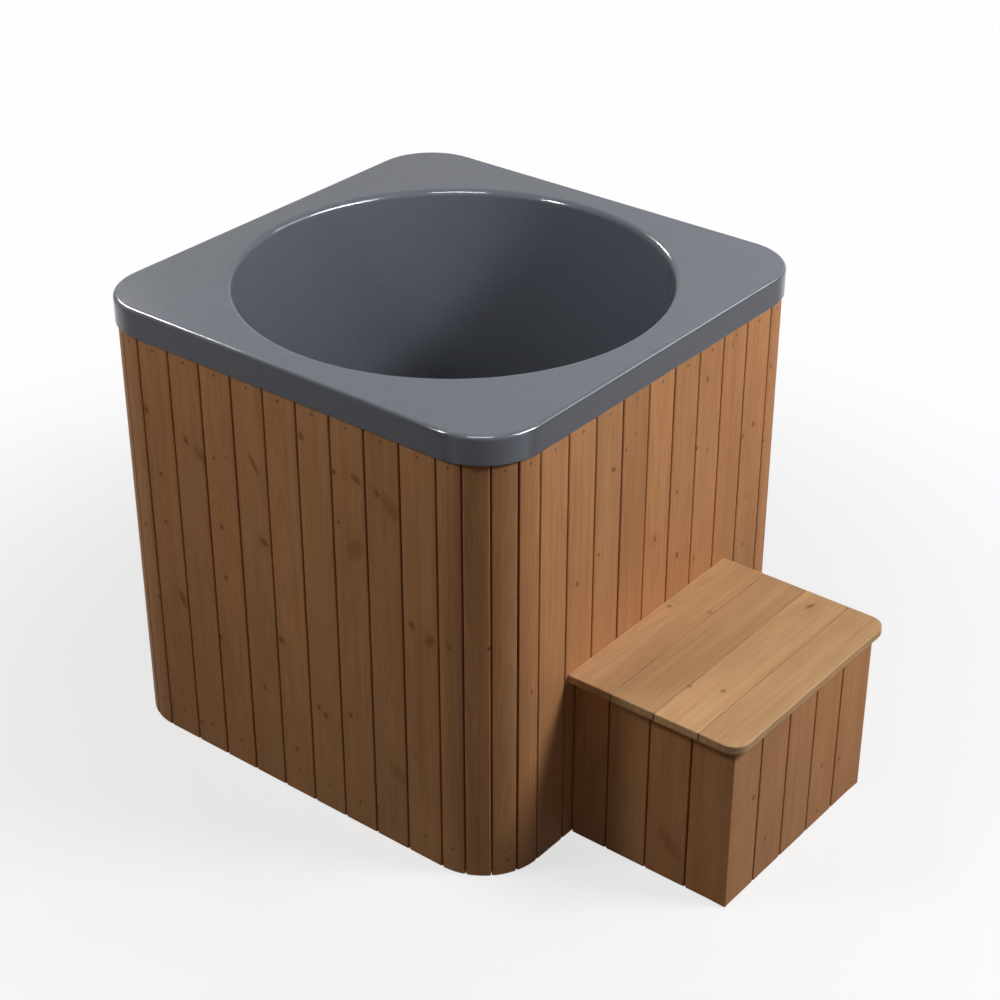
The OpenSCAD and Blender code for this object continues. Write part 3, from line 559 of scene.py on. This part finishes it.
def gelcoat():
    """Moulded gelcoat: a glossy skin with a faint orange peel and a slow wave, and painted shade that makes
    it a little darker low in the bowl and on the skirt."""
    t = Tree("gelcoat")
    place = t.place()
    x, y, z = t.split(place)
    outwards = t.math("MAXIMUM", t.math("ABSOLUTE", x), t.math("ABSOLUTE", y))
    # Painted shade: the skirt and the low part of the bowl are darkened in the colour
    skirt = t.span(outwards, RIM_HALF - 5 * MM, RIM_HALF - 1 * MM, 1.0, SKIRT_PAINTED_SHADE)
    depth = t.span(z, BOWL_PAINTED_SHADE_LOW, RIM_TOP - MOUTH_ROUND, BOWL_PAINTED_SHADE, 1.0)
    shade = t.math("MULTIPLY", skirt, depth)
    peel = t.noise(place, 380.0)
    wave = t.noise(place, 9.0)
    mottle = t.noise(place, 45.0, 4.0, 0.65)
    scuff = t.stretched_noise(place, (60.0, 60.0, 900.0), None, 3.0, 0.7)
    colour = t.mix(t.span(mottle, 0.35, 0.65), rgb(0.160, 0.172, 0.204), rgb(0.167, 0.180, 0.213))
    colour = t.scale(colour, shade)
    roughness = t.math("ADD", t.span(mottle, 0.3, 0.7, 0.08, 0.10), t.math("MULTIPLY", scuff, 0.02))
    normal = t.bump(wave, 0.1, 0.6 * MM)
    normal = t.bump(peel, 0.1, 0.1 * MM, normal)
    return t.surface(Base_Color=colour, Roughness=roughness, Specular_IOR_Level=0.20, Normal=normal)


def moulded_plastic(name, light, dark, roughness):
    """Injection-moulded plastic with a fine grain."""
    t = Tree(name)
    place = t.place()
    grit = t.noise(place, 1400.0, 2.0, 0.6)
    colour = t.mix(t.noise(place, 40.0, 3.0), light, dark)
    rough = t.math("ADD", t.math("MULTIPLY", grit, 0.1), roughness - 0.05)
    normal = t.bump(grit, 0.25, 0.1 * MM)
    return t.surface(Base_Color=colour, Roughness=rough, Specular_IOR_Level=0.5, Normal=normal)


def metal(name, light, dark, roughness, fineness):
    """Metal with light and dark cast and fine marks along x."""
    t = Tree(name)
    place = t.place()
    marks = t.stretched_noise(place, (120.0, fineness, fineness), None, 3.0, 0.65)
    colour = t.mix(t.noise(place, 60.0, 4.0, 0.6), light, dark)
    rough = t.math("ADD", t.math("MULTIPLY", marks, 0.16), roughness - 0.08)
    normal = t.bump(marks, 0.2, 0.1 * MM)
    return t.surface(Base_Color=colour, Metallic=1.0, Roughness=rough, Normal=normal)


early_wood = rgb(0.55, 0.270, 0.113)
late_wood = rgb(0.345, 0.154, 0.056)
wood_knot = rgb(0.175, 0.044, 0.005)
cladding_wood = board_wood("cladding_wood", early_wood, late_wood, wood_knot, 0.16, nails=True)
step_wood = board_wood("step_wood", early_wood, late_wood, wood_knot, 0.16)
tread_wood = board_wood(
    "tread_wood", rgb(0.65, 0.396, 0.194), rgb(0.39, 0.218, 0.098), rgb(0.235, 0.075, 0.012), 0.16
)
gelcoat_skin = gelcoat()
timber_along_z = plain_timber("timber_along_z", (1.0, 1.0, 0.03))
timber_along_y = plain_timber("timber_along_y", (1.0, 0.03, 1.0))
timber_along_x = plain_timber("timber_along_x", (0.03, 1.0, 1.0))
birch_ply = plywood()
insulation_foam = foam()
pipe_plastic = moulded_plastic("pipe_plastic", rgb(0.33, 0.34, 0.35), rgb(0.28, 0.29, 0.30), 0.42)
seat_plastic = moulded_plastic("seat_plastic", rgb(0.80, 0.79, 0.76), rgb(0.72, 0.71, 0.68), 0.4)
grip_plastic = moulded_plastic("grip_plastic", rgb(0.42, 0.020, 0.016), rgb(0.34, 0.015, 0.012), 0.45)
black_rubber = moulded_plastic("rubber", rgb(0.022, 0.022, 0.023), rgb(0.014, 0.014, 0.015), 0.7)
brass = metal("brass", rgb(0.66, 0.47, 0.20), rgb(0.50, 0.33, 0.12), 0.34, 400.0)
steel = metal("steel", rgb(0.60, 0.61, 0.62), rgb(0.46, 0.47, 0.48), 0.36, 900.0)
nail_steel = metal("nail_steel", rgb(0.090, 0.066, 0.048), rgb(0.045, 0.034, 0.026), 0.6, 600.0)


# Boards

class Boards:
    """The boards of one piece, with the figures that their grain is drawn from."""

    def __init__(self, seed):
        self.random = random.Random(seed)
        self.points = []
        self.faces = []
        knots = [f"{trait}_{k}" for k in range(KNOTS_PER_BOARD) for trait in ("knot", "shape")]
        self.traits = {name: [] for name in ("grain", "joint", "log", "board", "growth", *knots)}

    def random_knot(self, width, length):
        """A knot somewhere on the board: across, along, radius, lean, stretch and force."""
        pick = self.random.uniform
        small = pick(0, 1) < 0.75
        radius = pick(1.6, 3.4) if small else pick(3.5, 6.0)
        force = pick(0.55, 1.0) if small else pick(0.3, 0.8)
        across = pick(-0.45, 0.45) * width
        return (across, pick(0.02, 0.98) * length, radius * MM, pick(-0.6, 0.6), pick(1.0, 1.7), force)

    def slightly(self, place):
        """A board's place with the little play of hand-nailed boards."""
        pick = self.random.uniform
        return place @ Matrix.Translation((pick(-0.2, 0.2) * MM, pick(-0.25, 0.2) * MM, 0))

    def add(self, shape, place, width, length, knots=(), spare_knots=2, grain=Vector, joint=None):
        """Adds a board. grain gives a point's place across, deep in and along the board from its own
        point, and joint how deep a point lies in the joint with the next board, as deep as in the board
        if nothing else is said."""
        pick = self.random.uniform
        points, faces = shape
        start = len(self.points)
        self.points += [place @ point for point in points]
        self.faces += [tuple(start + i for i in face) for face in faces]
        side = self.random.choice((-1, 1))
        chosen = list(knots)[:KNOTS_PER_BOARD]
        for _ in range(min(spare_knots, KNOTS_PER_BOARD - len(chosen))):
            chosen.append(self.random_knot(width, length))
        while len(chosen) < KNOTS_PER_BOARD:
            chosen.append((0.0, -10.0, 1 * MM, 0.0, 1.0, 0.0))
        values = {
            "log": (side * pick(0.0, 0.9) * width, pick(0.03, 0.11), side * pick(-0.02, 0.02)),
            "board": (pick(0.0, 100.0), pick(-0.09, 0.09), pick(0.0, 0.45)),
            "growth": (pick(2.3, 3.6) * MM, pick(-0.03, 0.03), 0.0)
        }
        for k, knot in enumerate(chosen):
            values[f"knot_{k}"] = knot[:3]
            values[f"shape_{k}"] = knot[3:]
        places = [grain(point) for point in points]
        self.traits["grain"] += places
        self.traits["joint"] += [(joint(at) if joint else at.y, 0.0, 0.0) for at in places]
        for name, value in values.items():
            self.traits[name] += [value] * len(points)

    def piece(self, name, body, slot, material, node):
        made = new_piece(name, self.points, self.faces, body, [node])
        for trait, values in self.traits.items():
            layer = made.data.attributes.new(trait, "FLOAT_VECTOR", "POINT")
            layer.data.foreach_set("vector", [number for value in values for number in value])
        set_material(made, material)
        return made


def board_outline(width, left, right):
    """Outline of a board from its end: outer face at depth 0, middle at 0, each edge of the named kind."""
    gap = SEAM_GAP / 2
    mitre = MITRE_GAP / 2
    tongue_low = (BOARD_T - TONGUE_T) / 2
    groove_low = tongue_low - TONGUE_CLEAR
    groove_end = gap + TONGUE_L - SEAM_GAP + TONGUE_CLEAR
    right_face = width - gap
    left_edges = {
        "groove": [
            (gap, BOARD_T), (gap, BOARD_T - groove_low), (groove_end, BOARD_T - groove_low),
            (groove_end, groove_low), (gap, groove_low), (gap, SEAM_BEVEL), (gap + SEAM_BEVEL, 0)
        ],
        "mitre": [(BOARD_T + mitre, BOARD_T), (mitre, 0)],
        "plain": [(gap, BOARD_T), (gap, SEAM_BEVEL), (gap + SEAM_BEVEL, 0)]
    }
    right_edges = {
        "tongue": [
            (right_face - SEAM_BEVEL, 0), (right_face, SEAM_BEVEL), (right_face, tongue_low),
            (right_face + TONGUE_L, tongue_low), (right_face + TONGUE_L, BOARD_T - tongue_low),
            (right_face, BOARD_T - tongue_low), (right_face, BOARD_T)
        ],
        "mitre": [(width - mitre, 0), (width - mitre - BOARD_T, BOARD_T)],
        "plain": [(right_face - SEAM_BEVEL, 0), (right_face, SEAM_BEVEL), (right_face, BOARD_T)]
    }
    outline = left_edges[left] + right_edges[right]
    return soften([(x - width / 2, y) for x, y in outline], ARRIS_R)


def stave_outline():
    """Outline of a corner stave: outer middle at (0, 0), the corner's centre at depth CORNER_R."""
    half = math.pi / 4 / STAVES_PER_CORNER
    gap = SEAM_GAP / 2
    inner_r = CORNER_R - BOARD_T
    side_r = CORNER_R - SEAM_BEVEL
    steps = 10

    def edge_turn(radius, inset):
        """Angle from the middle to a point that lies inset from the stave's edge plane."""
        return half - math.asin(inset / radius)

    def at(radius, turn):
        return (radius * math.sin(turn), CORNER_R - radius * math.cos(turn))

    outer = edge_turn(CORNER_R, gap + SEAM_BEVEL)
    inner = edge_turn(inner_r, gap)
    side = edge_turn(side_r, gap)
    face = [at(CORNER_R, outer * (2 * i / steps - 1)) for i in range(steps + 1)]
    rear = [at(inner_r, inner * (1 - 2 * i / steps)) for i in range(steps + 1)]
    return soften(face + [at(side_r, side)] + rear + [at(side_r, -side)], ARRIS_R)


# Knots that show, in millimetres and degrees: across and height on the side, radius, lean, stretch and force
FRONT_KNOTS = (
    (-257, 578, 3.5, 20, 1.4, 0.8), (-190, 608, 3, 0, 1.3, 0.8), (-150, 772, 4, 60, 1.5, 0.9),
    (-114, 797, 3, 0, 1.2, 0.8), (-83, 819, 2.5, 0, 1.2, 0.5), (152, 835, 3.5, 0, 1.5, 0.9),
    (126, 696, 3, 0, 1.3, 0.8), (163, 676, 3.5, 0, 1.3, 0.5), (293, 651, 3, 0, 1.4, 0.8),
    (234, 877, 3, 0, 1.3, 0.7), (329, 663, 4, 30, 1.5, 0.8), (-6, 554, 3.5, 0, 1.3, 0.9),
    (74, 479, 4, 0, 1.4, 0.9), (136, 441, 3, 0, 1.3, 0.8), (317, 387, 3, 0, 1.3, 0.8),
    (320, 500, 3.5, 0, 1.4, 0.4), (63, 627, 3, 0, 1.3, 0.8), (0, 676, 3, 0, 1.3, 0.3)
)
LEFT_KNOTS = (
    (-361, 757, 5, 15, 1.3, 0.9), (-255, 725, 5, 20, 1.4, 0.9), (-217, 704, 9, 50, 2.0, 0.5),
    (-335, 622, 4, 0, 1.3, 0.9), (-333, 513, 4, 0, 1.3, 0.8), (-181, 712, 3, 0, 1.2, 0.8),
    (-153, 726, 3, 0, 1.2, 0.5), (-174, 561, 4, 0, 1.3, 0.9), (-75, 735, 4, 30, 5.0, 0.8),
    (-61, 570, 6, 60, 1.5, 0.9), (-6, 891, 3, 0, 1.2, 0.5), (52, 839, 5, 10, 1.6, 0.8),
    (130, 792, 4, 0, 1.3, 0.9), (137, 689, 3.5, 0, 1.3, 0.8), (183, 796, 6, 60, 1.6, 0.8),
    (176, 645, 14, -30, 1.6, 0.45), (233, 785, 5, 40, 1.4, 0.9), (263, 767, 12, 30, 1.8, 0.45),
    (-303, 345, 6, 25, 2.6, 0.9), (-173, 445, 4, 0, 1.3, 0.8), (-201, 294, 4, 0, 1.3, 0.9),
    (-166, 280, 4, 0, 1.3, 0.5), (-29, 359, 5.5, 50, 1.3, 0.9), (-85, 223, 4, 0, 1.3, 0.8),
    (-332, 101, 4, 0, 1.3, 0.4), (-278, 48, 4, 0, 1.3, 0.8), (-195, 46, 4, 0, 1.3, 0.8),
    (62, 240, 4, 0, 1.3, 0.9), (80, 229, 5, 30, 1.3, 0.9), (-5, 107, 4, 0, 1.3, 0.9),
    (146, 259, 4, 0, 1.3, 0.8), (155, 99, 4, 0, 1.3, 0.8), (208, 66, 4, 0, 1.3, 0.8),
    (263, 178, 12, 40, 1.8, 0.35), (308, 534, 5, 50, 1.4, 0.9), (350, 517, 8, -30, 1.5, 0.7),
    (310, 240, 4, 0, 1.3, 0.4)
)
STEP_FRONT_KNOTS = (
    (-183, 215, 4, 0, 1.3, 0.9), (-130, 84, 3.5, 0, 1.3, 0.8), (139, 112, 3.5, 0, 1.3, 0.8),
    (68, 26, 3, 0, 1.3, 0.8), (-123, 351, 3, 0, 1.2, 0.7), (70, 138, 3.5, 0, 1.3, 0.8)
)
# On the step's left side the first number is the distance from its rear end
STEP_LEFT_KNOTS = ((232, 86, 14, 40, 2.4, 0.4), )
# On the tread the first number is the distance from the tub's middle along y, and the second is x
TREAD_KNOTS = (
    (-733, 203, 4, 10, 2.6, 1.0), (-757, -144, 4, 0, 1.3, 0.7), (-700, -169, 3.5, 0, 1.3, 0.7),
    (-517, 31, 3.5, 0, 1.4, 0.8), (-591, 62, 4, 0, 1.5, 0.5)
)


def knots_within(knots, middle, cover, start):
    """The knots of one board, in metres from its own middle and lower end."""
    chosen = []
    for across, along, radius, lean, stretch, force in knots:
        off = across * MM - middle
        if abs(off) < cover / 2:
            chosen.append((off, along * MM - start, radius * MM, math.radians(lean), stretch, force))
    return chosen


def stave_grain(point):
    """A stave's point as if its round face were rolled out flat."""
    inwards = CORNER_R - point.y
    return Vector((CORNER_R * math.atan2(point.x, inwards), CORNER_R - math.hypot(point.x, inwards), point.z))


def stave_place(turn, i, level):
    """Where the i-th stave of a corner has its outer middle."""
    corner = Matrix.Translation((FLAT_HALF, -FLAT_HALF, level))
    swing = Matrix.Rotation(math.pi / 2 * (i + 0.5) / STAVES_PER_CORNER, 4, "Z")
    return turn @ corner @ swing @ Matrix.Translation((0, -CORNER_R, 0))


def make_cladding():
    """Boards, closing board and corner staves of the four sides, each side turned a quarter further."""
    sides = ("front", "right", "back", "left")
    corners = ("front_right", "back_right", "back_left", "front_left")
    regular = rounded_prism(board_outline(BOARD_COVER, "groove", "tongue"), BOARD_LENGTH)
    closing = rounded_prism(board_outline(CLOSING_COVER, "groove", "plain"), BOARD_LENGTH)
    stave = rounded_prism(stave_outline(), BOARD_LENGTH)
    stave_cover = math.pi / 2 * CORNER_R / STAVES_PER_CORNER
    seen = {"front": FRONT_KNOTS, "left": LEFT_KNOTS}
    for k, (side, corner) in enumerate(zip(sides, corners)):
        turn = Matrix.Rotation(math.pi / 2 * k, 4, "Z")
        knots = seen.get(side, ())
        spare = 0 if side in seen else 3
        stave_knots = 1 if side == "left" else 3

        boards = Boards(11 + k)
        for i in range(BOARDS_PER_SIDE):
            middle = -FLAT_HALF + (i + 0.5) * BOARD_COVER
            place = boards.slightly(turn @ Matrix.Translation((middle, -CASE_HALF, BOARD_LOW)))
            own = knots_within(knots, middle, BOARD_COVER, BOARD_LOW)
            boards.add(regular, place, BOARD_COVER, BOARD_LENGTH, own, spare)
        boards.piece(f"{side}_boards", "tub", "cladding_wood", cladding_wood, f"{side}_cladding_boards")

        last = Boards(31 + k)
        middle = FLAT_HALF - CLOSING_COVER / 2
        place = last.slightly(turn @ Matrix.Translation((middle, -CASE_HALF, BOARD_LOW)))
        own = knots_within(knots, middle, CLOSING_COVER, BOARD_LOW)
        last.add(closing, place, CLOSING_COVER, BOARD_LENGTH, own, spare)
        last.piece(f"{side}_last_board", "tub", "cladding_wood", cladding_wood, f"{side}_closing_board")

        staves = Boards(51 + k)
        for i in range(STAVES_PER_CORNER):
            place = staves.slightly(stave_place(turn, i, BOARD_LOW))
            staves.add(stave, place, stave_cover, BOARD_LENGTH, (), stave_knots, grain=stave_grain)
        staves.piece(f"{corner}_staves", "tub", "cladding_wood", cladding_wood, f"{corner}_corner_staves")


def nail_shape(sectors=14):
    """A nail along +y: a low domed head standing just proud of y = 0, a shank and a point."""
    dome = 0.35 * MM
    profile = (
        (0.5 * NAIL_HEAD_R, -0.85 * dome), (0.85 * NAIL_HEAD_R, -0.45 * dome), (NAIL_HEAD_R, 0.1 * MM),
        (NAIL_HEAD_R, 0.9 * MM), (NAIL_R, 1.3 * MM), (NAIL_R, NAIL_L - 4 * MM)
    )
    turns = [2 * math.pi * i / sectors for i in range(sectors)]
    loops = [[(r * math.cos(a), y, r * math.sin(a)) for a in turns] for r, y in profile]
    points, faces = bridge(loops)
    crown = len(points)
    points += [(0, -dome, 0), (0, NAIL_L, 0)]
    for i in range(sectors):
        j = (i + 1) % sectors
        faces.append((crown, j, i))
        faces.append((crown + 1, crown - sectors + i, crown - sectors + j))
    return [Vector(point) for point in points], faces


def make_nails():
    """Two nails to each board and stave, as one piece."""
    shape_points, shape_faces = nail_shape()
    middles = [-FLAT_HALF + (i + 0.5) * BOARD_COVER for i in range(BOARDS_PER_SIDE)]
    middles.append(FLAT_HALF - CLOSING_COVER / 2)
    places = []
    for k in range(4):
        turn = Matrix.Rotation(math.pi / 2 * k, 4, "Z")
        for level in NAIL_LEVELS:
            places += [turn @ Matrix.Translation((middle, -CASE_HALF, level)) for middle in middles]
            places += [stave_place(turn, i, level) for i in range(STAVES_PER_CORNER)]
    points = []
    faces = []
    for place in places:
        start = len(points)
        points += [place @ point for point in shape_points]
        faces += [tuple(start + i for i in face) for face in shape_faces]
    nails = new_piece("nails", points, faces, "tub", ["cladding_nails"])
    set_material(nails, nail_steel)


# Shell

def rim_loop(inset, level, corner_steps=24, side_steps=40):
    """A ring of points on the rim's square outline, moved inwards by inset."""
    half = RIM_HALF - inset
    radius = RIM_CORNER_R - inset
    core = RIM_HALF - RIM_CORNER_R
    loop = []
    for k in range(4):
        turn = Matrix.Rotation(math.pi / 2 * k, 3, "Z")
        for i in range(side_steps):
            loop.append(turn @ Vector((-core + 2 * core * i / side_steps, -half, level)))
        for i in range(corner_steps):
            angle = -math.pi / 2 + math.pi / 2 * i / corner_steps
            x = core + radius * math.cos(angle)
            y = -core + radius * math.sin(angle)
            loop.append(turn @ Vector((x, y, level)))
    return loop


def bowl_loop(radius, level, guide):
    """A circle with a point in the direction of each point of the guide loop."""
    return [Vector((p.x, p.y, 0)).normalized() * radius + Vector((0, 0, level)) for p in guide]


def bowl_profile(skin, support):
    """Radius and height from the mouth to the floor hole, for a face that lies skin under the inner one."""
    draft = math.degrees(WALL_DRAFT)
    wall_top_r = MOUTH_R - MOUTH_ROUND * math.cos(WALL_DRAFT)
    wall_top_z = RIM_TOP - MOUTH_ROUND + MOUTH_ROUND * math.sin(WALL_DRAFT)
    foot_z = FLOOR_Z + FLOOR_ROUND
    flat_r = wall_top_r - (FLOOR_ROUND + (wall_top_z - foot_z) * math.sin(WALL_DRAFT)) / math.cos(WALL_DRAFT)
    profile = [(MOUTH_R + support, RIM_TOP - skin)]
    profile += arc((MOUTH_R, RIM_TOP - MOUTH_ROUND), MOUTH_ROUND - skin, 90, 180 - draft, 14)
    foot = arc((flat_r, foot_z), FLOOR_ROUND + skin, -draft, -90, 18)
    (start_r, start_z), (end_r, end_z) = profile[-1], foot[0]
    # The wall's first and last rings lie close to its roundings
    for share in (0.004, 0.25, 0.5, 0.75, 0.996):
        profile.append((start_r + (end_r - start_r) * share, start_z + (end_z - start_z) * share))
    profile += foot
    for radius in (flat_r - support, 0.5 * flat_r, FLOOR_HOLE_R + support, FLOOR_HOLE_R):
        profile.append((radius, FLOOR_Z - skin))
    return profile


def make_shell():
    """One closed skin: skirt, rim, mouth, bowl and floor, and the same at laminate thickness behind."""
    support = 1.5 * MM
    lip_r = 1.2 * MM
    lip_near = 0.3 * lip_r
    edge_centre = (RIM_EDGE_R, RIM_TOP - RIM_EDGE_R)

    loops = [
        rim_loop(lip_r, SKIRT_LOW),
        rim_loop(lip_near, SKIRT_LOW + lip_near),
        rim_loop(0, SKIRT_LOW + lip_r),
        rim_loop(0, SKIRT_LOW + lip_r + support),
        rim_loop(0, RIM_TOP - RIM_EDGE_R - support)
    ]
    loops += [rim_loop(inset, level) for inset, level in arc(edge_centre, RIM_EDGE_R, 180, 90, 8)]
    loops.append(rim_loop(RIM_EDGE_R + support, RIM_TOP))
    guide = loops[-1]
    loops += [bowl_loop(radius, level, guide) for radius, level in bowl_profile(0, support)]
    loops += [bowl_loop(radius, level, guide) for radius, level in reversed(bowl_profile(SHELL_T, support))]
    loops.append(rim_loop(RIM_EDGE_R + support, RIM_TOP - SHELL_T))
    loops += [rim_loop(inset, level) for inset, level in arc(edge_centre, RIM_EDGE_R - SHELL_T, 90, 180, 4)]
    loops += [
        rim_loop(SHELL_T, SKIRT_LOW + lip_r),
        rim_loop(SHELL_T - lip_near, SKIRT_LOW + lip_near),
        rim_loop(SHELL_T - lip_r, SKIRT_LOW)
    ]
    points, faces = bridge(loops, closed=True)
    shell = new_piece("shell", points, faces, "tub", ["bowl_shell"])
    set_material(shell, gelcoat_skin)


# Step

def make_step_wall(name, node, seed, origin, turn, total, cover, count, kinds, narrow, knots=()):
    """A wall of boards from origin along its own x; the board numbered narrow takes what is left over."""
    boards = Boards(seed)
    length = step_high[2] - step_low[2]
    start = 0.0
    for i in range(count):
        width = total - (count - 1) * cover if i == narrow else cover
        left = kinds[0] if i == 0 else "groove"
        right = kinds[1] if i == count - 1 else "tongue"
        shape = rounded_prism(board_outline(width, left, right), length)
        middle = start + width / 2
        corner = Matrix.Translation(origin) @ Matrix.Rotation(turn, 4, "Z")
        place = corner @ Matrix.Translation((middle, 0, 0))
        own = knots_within(knots, middle, width, step_low[2])
        boards.add(shape, boards.slightly(place), width, length, own, 0)
        start += width
    boards.piece(name, "step_box", "cladding_wood", step_wood, node)


def make_step_walls():
    """The step's front, left and right walls, mitred at the front corners."""
    left_x, right_x = step_low[0], step_high[0]
    front_y, rear_y = step_side_low[1], step_side_high[1]
    low_z = step_low[2]
    front_knots = [(x - left_x / MM, *rest) for x, *rest in STEP_FRONT_KNOTS]
    make_step_wall(
        "step_front_wall", "step_front_boards", 71, (left_x, front_y, low_z), 0.0, right_x - left_x,
        STEP_FRONT_COVER, STEP_FRONT_BOARDS, ("mitre", "mitre"), STEP_FRONT_BOARDS - 1, front_knots
    )
    make_step_wall(
        "step_left_wall", "step_left_boards", 72, (left_x, rear_y, low_z), -math.pi / 2, rear_y - front_y,
        STEP_SIDE_COVER, STEP_SIDE_BOARDS, ("plain", "mitre"), 0, STEP_LEFT_KNOTS
    )
    make_step_wall(
        "step_right_wall", "step_right_boards", 73, (right_x, front_y, low_z), math.pi / 2, rear_y - front_y,
        STEP_SIDE_COVER, STEP_SIDE_BOARDS, ("mitre", "plain"), STEP_SIDE_BOARDS - 1
    )


def tread_outline(y_low, y_high, front):
    """Plan of a tread board in (x, y), with the radius of its end edges at each point."""
    x_low, x_high = tread_low[0], tread_high[0]
    small = 2.6 * MM
    front_r = TREAD_CORNER_R if front else small
    front_edge = TREAD_EDGE_R if front else TREAD_SEAM_R
    steps = 8
    outline = []
    radii = []
    for x, y, start, radius, edges in (
        (x_low + front_r, y_low + front_r, 180, front_r, (TREAD_EDGE_R, front_edge)),
        (x_high - front_r, y_low + front_r, 270, front_r, (front_edge, TREAD_EDGE_R)),
        (x_high - small, y_high - small, 0, small, (TREAD_EDGE_R, TREAD_SEAM_R)),
        (x_low + small, y_high - small, 90, small, (TREAD_SEAM_R, TREAD_EDGE_R))
    ):
        outline += arc((x, y), radius, start, start + 90, steps)
        radii += [edges[0] + (edges[1] - edges[0]) * i / steps for i in range(steps + 1)]
    return outline, radii


def make_treads():
    """The tread's four boards, from the back to the front."""
    top = tread_high[2]
    thickness = top - tread_low[2]
    rear = back_tread_high[1]
    length = tread_high[0] - tread_low[0]
    names = ("back", "second", "third", "front")
    for i, name in enumerate(names):
        front = name == "front"
        y_high = rear - i * TREAD_COVER - (0 if i == 0 else TREAD_GAP / 2)
        y_low = tread_low[1] if front else rear - (i + 1) * TREAD_COVER + TREAD_GAP / 2
        middle = (y_low + y_high) / 2
        near_seam = (y_high - y_low) / 2 - TREAD_SEAM_R
        seams = (1.0 if front else near_seam, 1.0 if i == 0 else near_seam)
        outline, radii = tread_outline(y_low, y_high, front)
        shape = rounded_prism(outline, thickness, radii)
        own = knots_within(TREAD_KNOTS, middle, y_high - y_low, tread_low[0])
        boards = Boards(81 + i)
        boards.add(
            shape, Matrix.Translation((0, 0, tread_low[2])), y_high - y_low, length, own, 0,
            grain=lambda point: Vector((point.y - middle, thickness - point.z, point.x - tread_low[0])),
            # The tread's seams count five times as deep, for a stronger painted shade in them
            joint=lambda at: 5 * at.y if -at.x > seams[0] or at.x > seams[1] else 0.0
        )
        boards.piece(f"{name}_tread", "step_box", "tread_wood", tread_wood, f"{name}_tread_board")


# Materials of the nodes that stay as they are

NODE_MATERIALS = {
    "top_ring": birch_ply, "middle_ring": birch_ply, "base_panel": birch_ply,
    "corner_posts": timber_along_z, "rim_bearers": timber_along_x, "rim_corner_blocks": timber_along_z,
    "left_skid": timber_along_y, "middle_skid": timber_along_y, "right_skid": timber_along_y,
    "bowl_floor_bearers": timber_along_y,
    "floor_insulation": insulation_foam, "lower_wall_insulation": insulation_foam,
    "upper_wall_insulation": insulation_foam,
    "drain_fitting": pipe_plastic, "drain_gasket": black_rubber, "drain_nut": pipe_plastic,
    "drain_plug": black_rubber, "plug_ring": steel, "drain_elbow": pipe_plastic, "drain_pipe": pipe_plastic,
    "pipe_cover_plate": pipe_plastic,
    "valve_body": brass, "valve_seats": seat_plastic, "valve_end": brass, "valve_gland_nut": brass,
    "valve_ball": steel, "valve_stem": brass, "valve_lever": steel, "lever_grip": grip_plastic,
    "lever_nut": steel,
    "step_posts": timber_along_z, "step_top_rails": timber_along_x, "step_bottom_rails": timber_along_x,
    "step_middle_bearer": timber_along_y, "step_feet": black_rubber, "tread_screws": steel
}


def make_floor():
    """Pale floor: the camera sees it near white with the object's shadow, and it throws little light back."""
    half = 12.0
    mesh = bpy.data.meshes.new("floor")
    corners = [(-half, -half, 0), (half, -half, 0), (half, half, 0), (-half, half, 0)]
    mesh.from_pydata(corners, [], [(0, 1, 2, 3)])
    floor = bpy.data.objects.new("floor", mesh)
    bpy.context.scene.collection.objects.link(floor)

    t = Tree("floor")
    x, y, _ = t.split(t.place())
    far = t.length(x, y)
    shade = t.span(far, FLOOR_SHADE_START, FLOOR_SHADE_END, FLOOR_SHADE_NEAR, FLOOR_SHADE_FAR, smooth=True)
    glow = t.shader("ShaderNodeEmission")
    lit = t.shader("ShaderNodeBsdfDiffuse", Color=rgb(FLOOR_LIT, FLOOR_LIT, FLOOR_LIT))
    bounce = t.shader("ShaderNodeBsdfDiffuse", Color=rgb(FLOOR_BOUNCE, FLOOR_BOUNCE, FLOOR_BOUNCE))
    shown = t.shader_mix(shade, glow, lit)
    set_material(floor, t.end(t.shader_mix(t.seen(), bounce, shown)))


def make_world():
    """An even dome of soft light, seen as near white."""
    t = Tree("studio", "World")
    white = rgb(1.0, 1.0, 1.0)
    dome = t.shader("ShaderNodeBackground", Color=white, Strength=DOME_LEVEL)
    backdrop = t.shader("ShaderNodeBackground", Color=white, Strength=1.0)
    bpy.context.scene.world = t.end(t.shader_mix(t.seen(), dome, backdrop))


def make_lamp(name, turn, rise, far, width, height, power):
    """A softbox that looks at the rim."""
    data = bpy.data.lights.new(name, "AREA")
    data.shape = "RECTANGLE"
    data.size = width
    data.size_y = height
    data.energy = power
    lamp = bpy.data.objects.new(name, data)
    turn, rise = math.radians(turn), math.radians(rise)
    way = Vector((math.cos(rise) * math.cos(turn), math.cos(rise) * math.sin(turn), math.sin(rise)))
    lamp.location = LAMP_TARGET + way * far
    lamp.rotation_euler = way.to_track_quat("Z", "Y").to_euler()
    bpy.context.scene.collection.objects.link(lamp)
    return lamp


def make_camera():
    """The camera, at the photograph's viewing angle."""
    data = bpy.data.cameras.new("camera")
    data.sensor_width = 36
    data.lens = CAMERA_LENS
    data.clip_end = 100
    camera = bpy.data.objects.new("camera", data)
    camera.location = CAMERA_PLACE
    camera.rotation_euler = (CAMERA_PITCH, 0, CAMERA_TURN)
    bpy.context.scene.collection.objects.link(camera)
    bpy.context.scene.camera = camera


make_camera()
make_shell()
make_cladding()
make_nails()
make_step_walls()
make_treads()
for node, material in NODE_MATERIALS.items():
    set_material(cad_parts[node], material)
make_floor()
make_world()
for name, settings in LAMPS.items():
    make_lamp(name, *settings)
for name, settings in GLOSS_LAMPS.items():
    make_lamp(name, *settings).visible_diffuse = False
bpy.context.scene.view_settings.view_transform = "Standard"
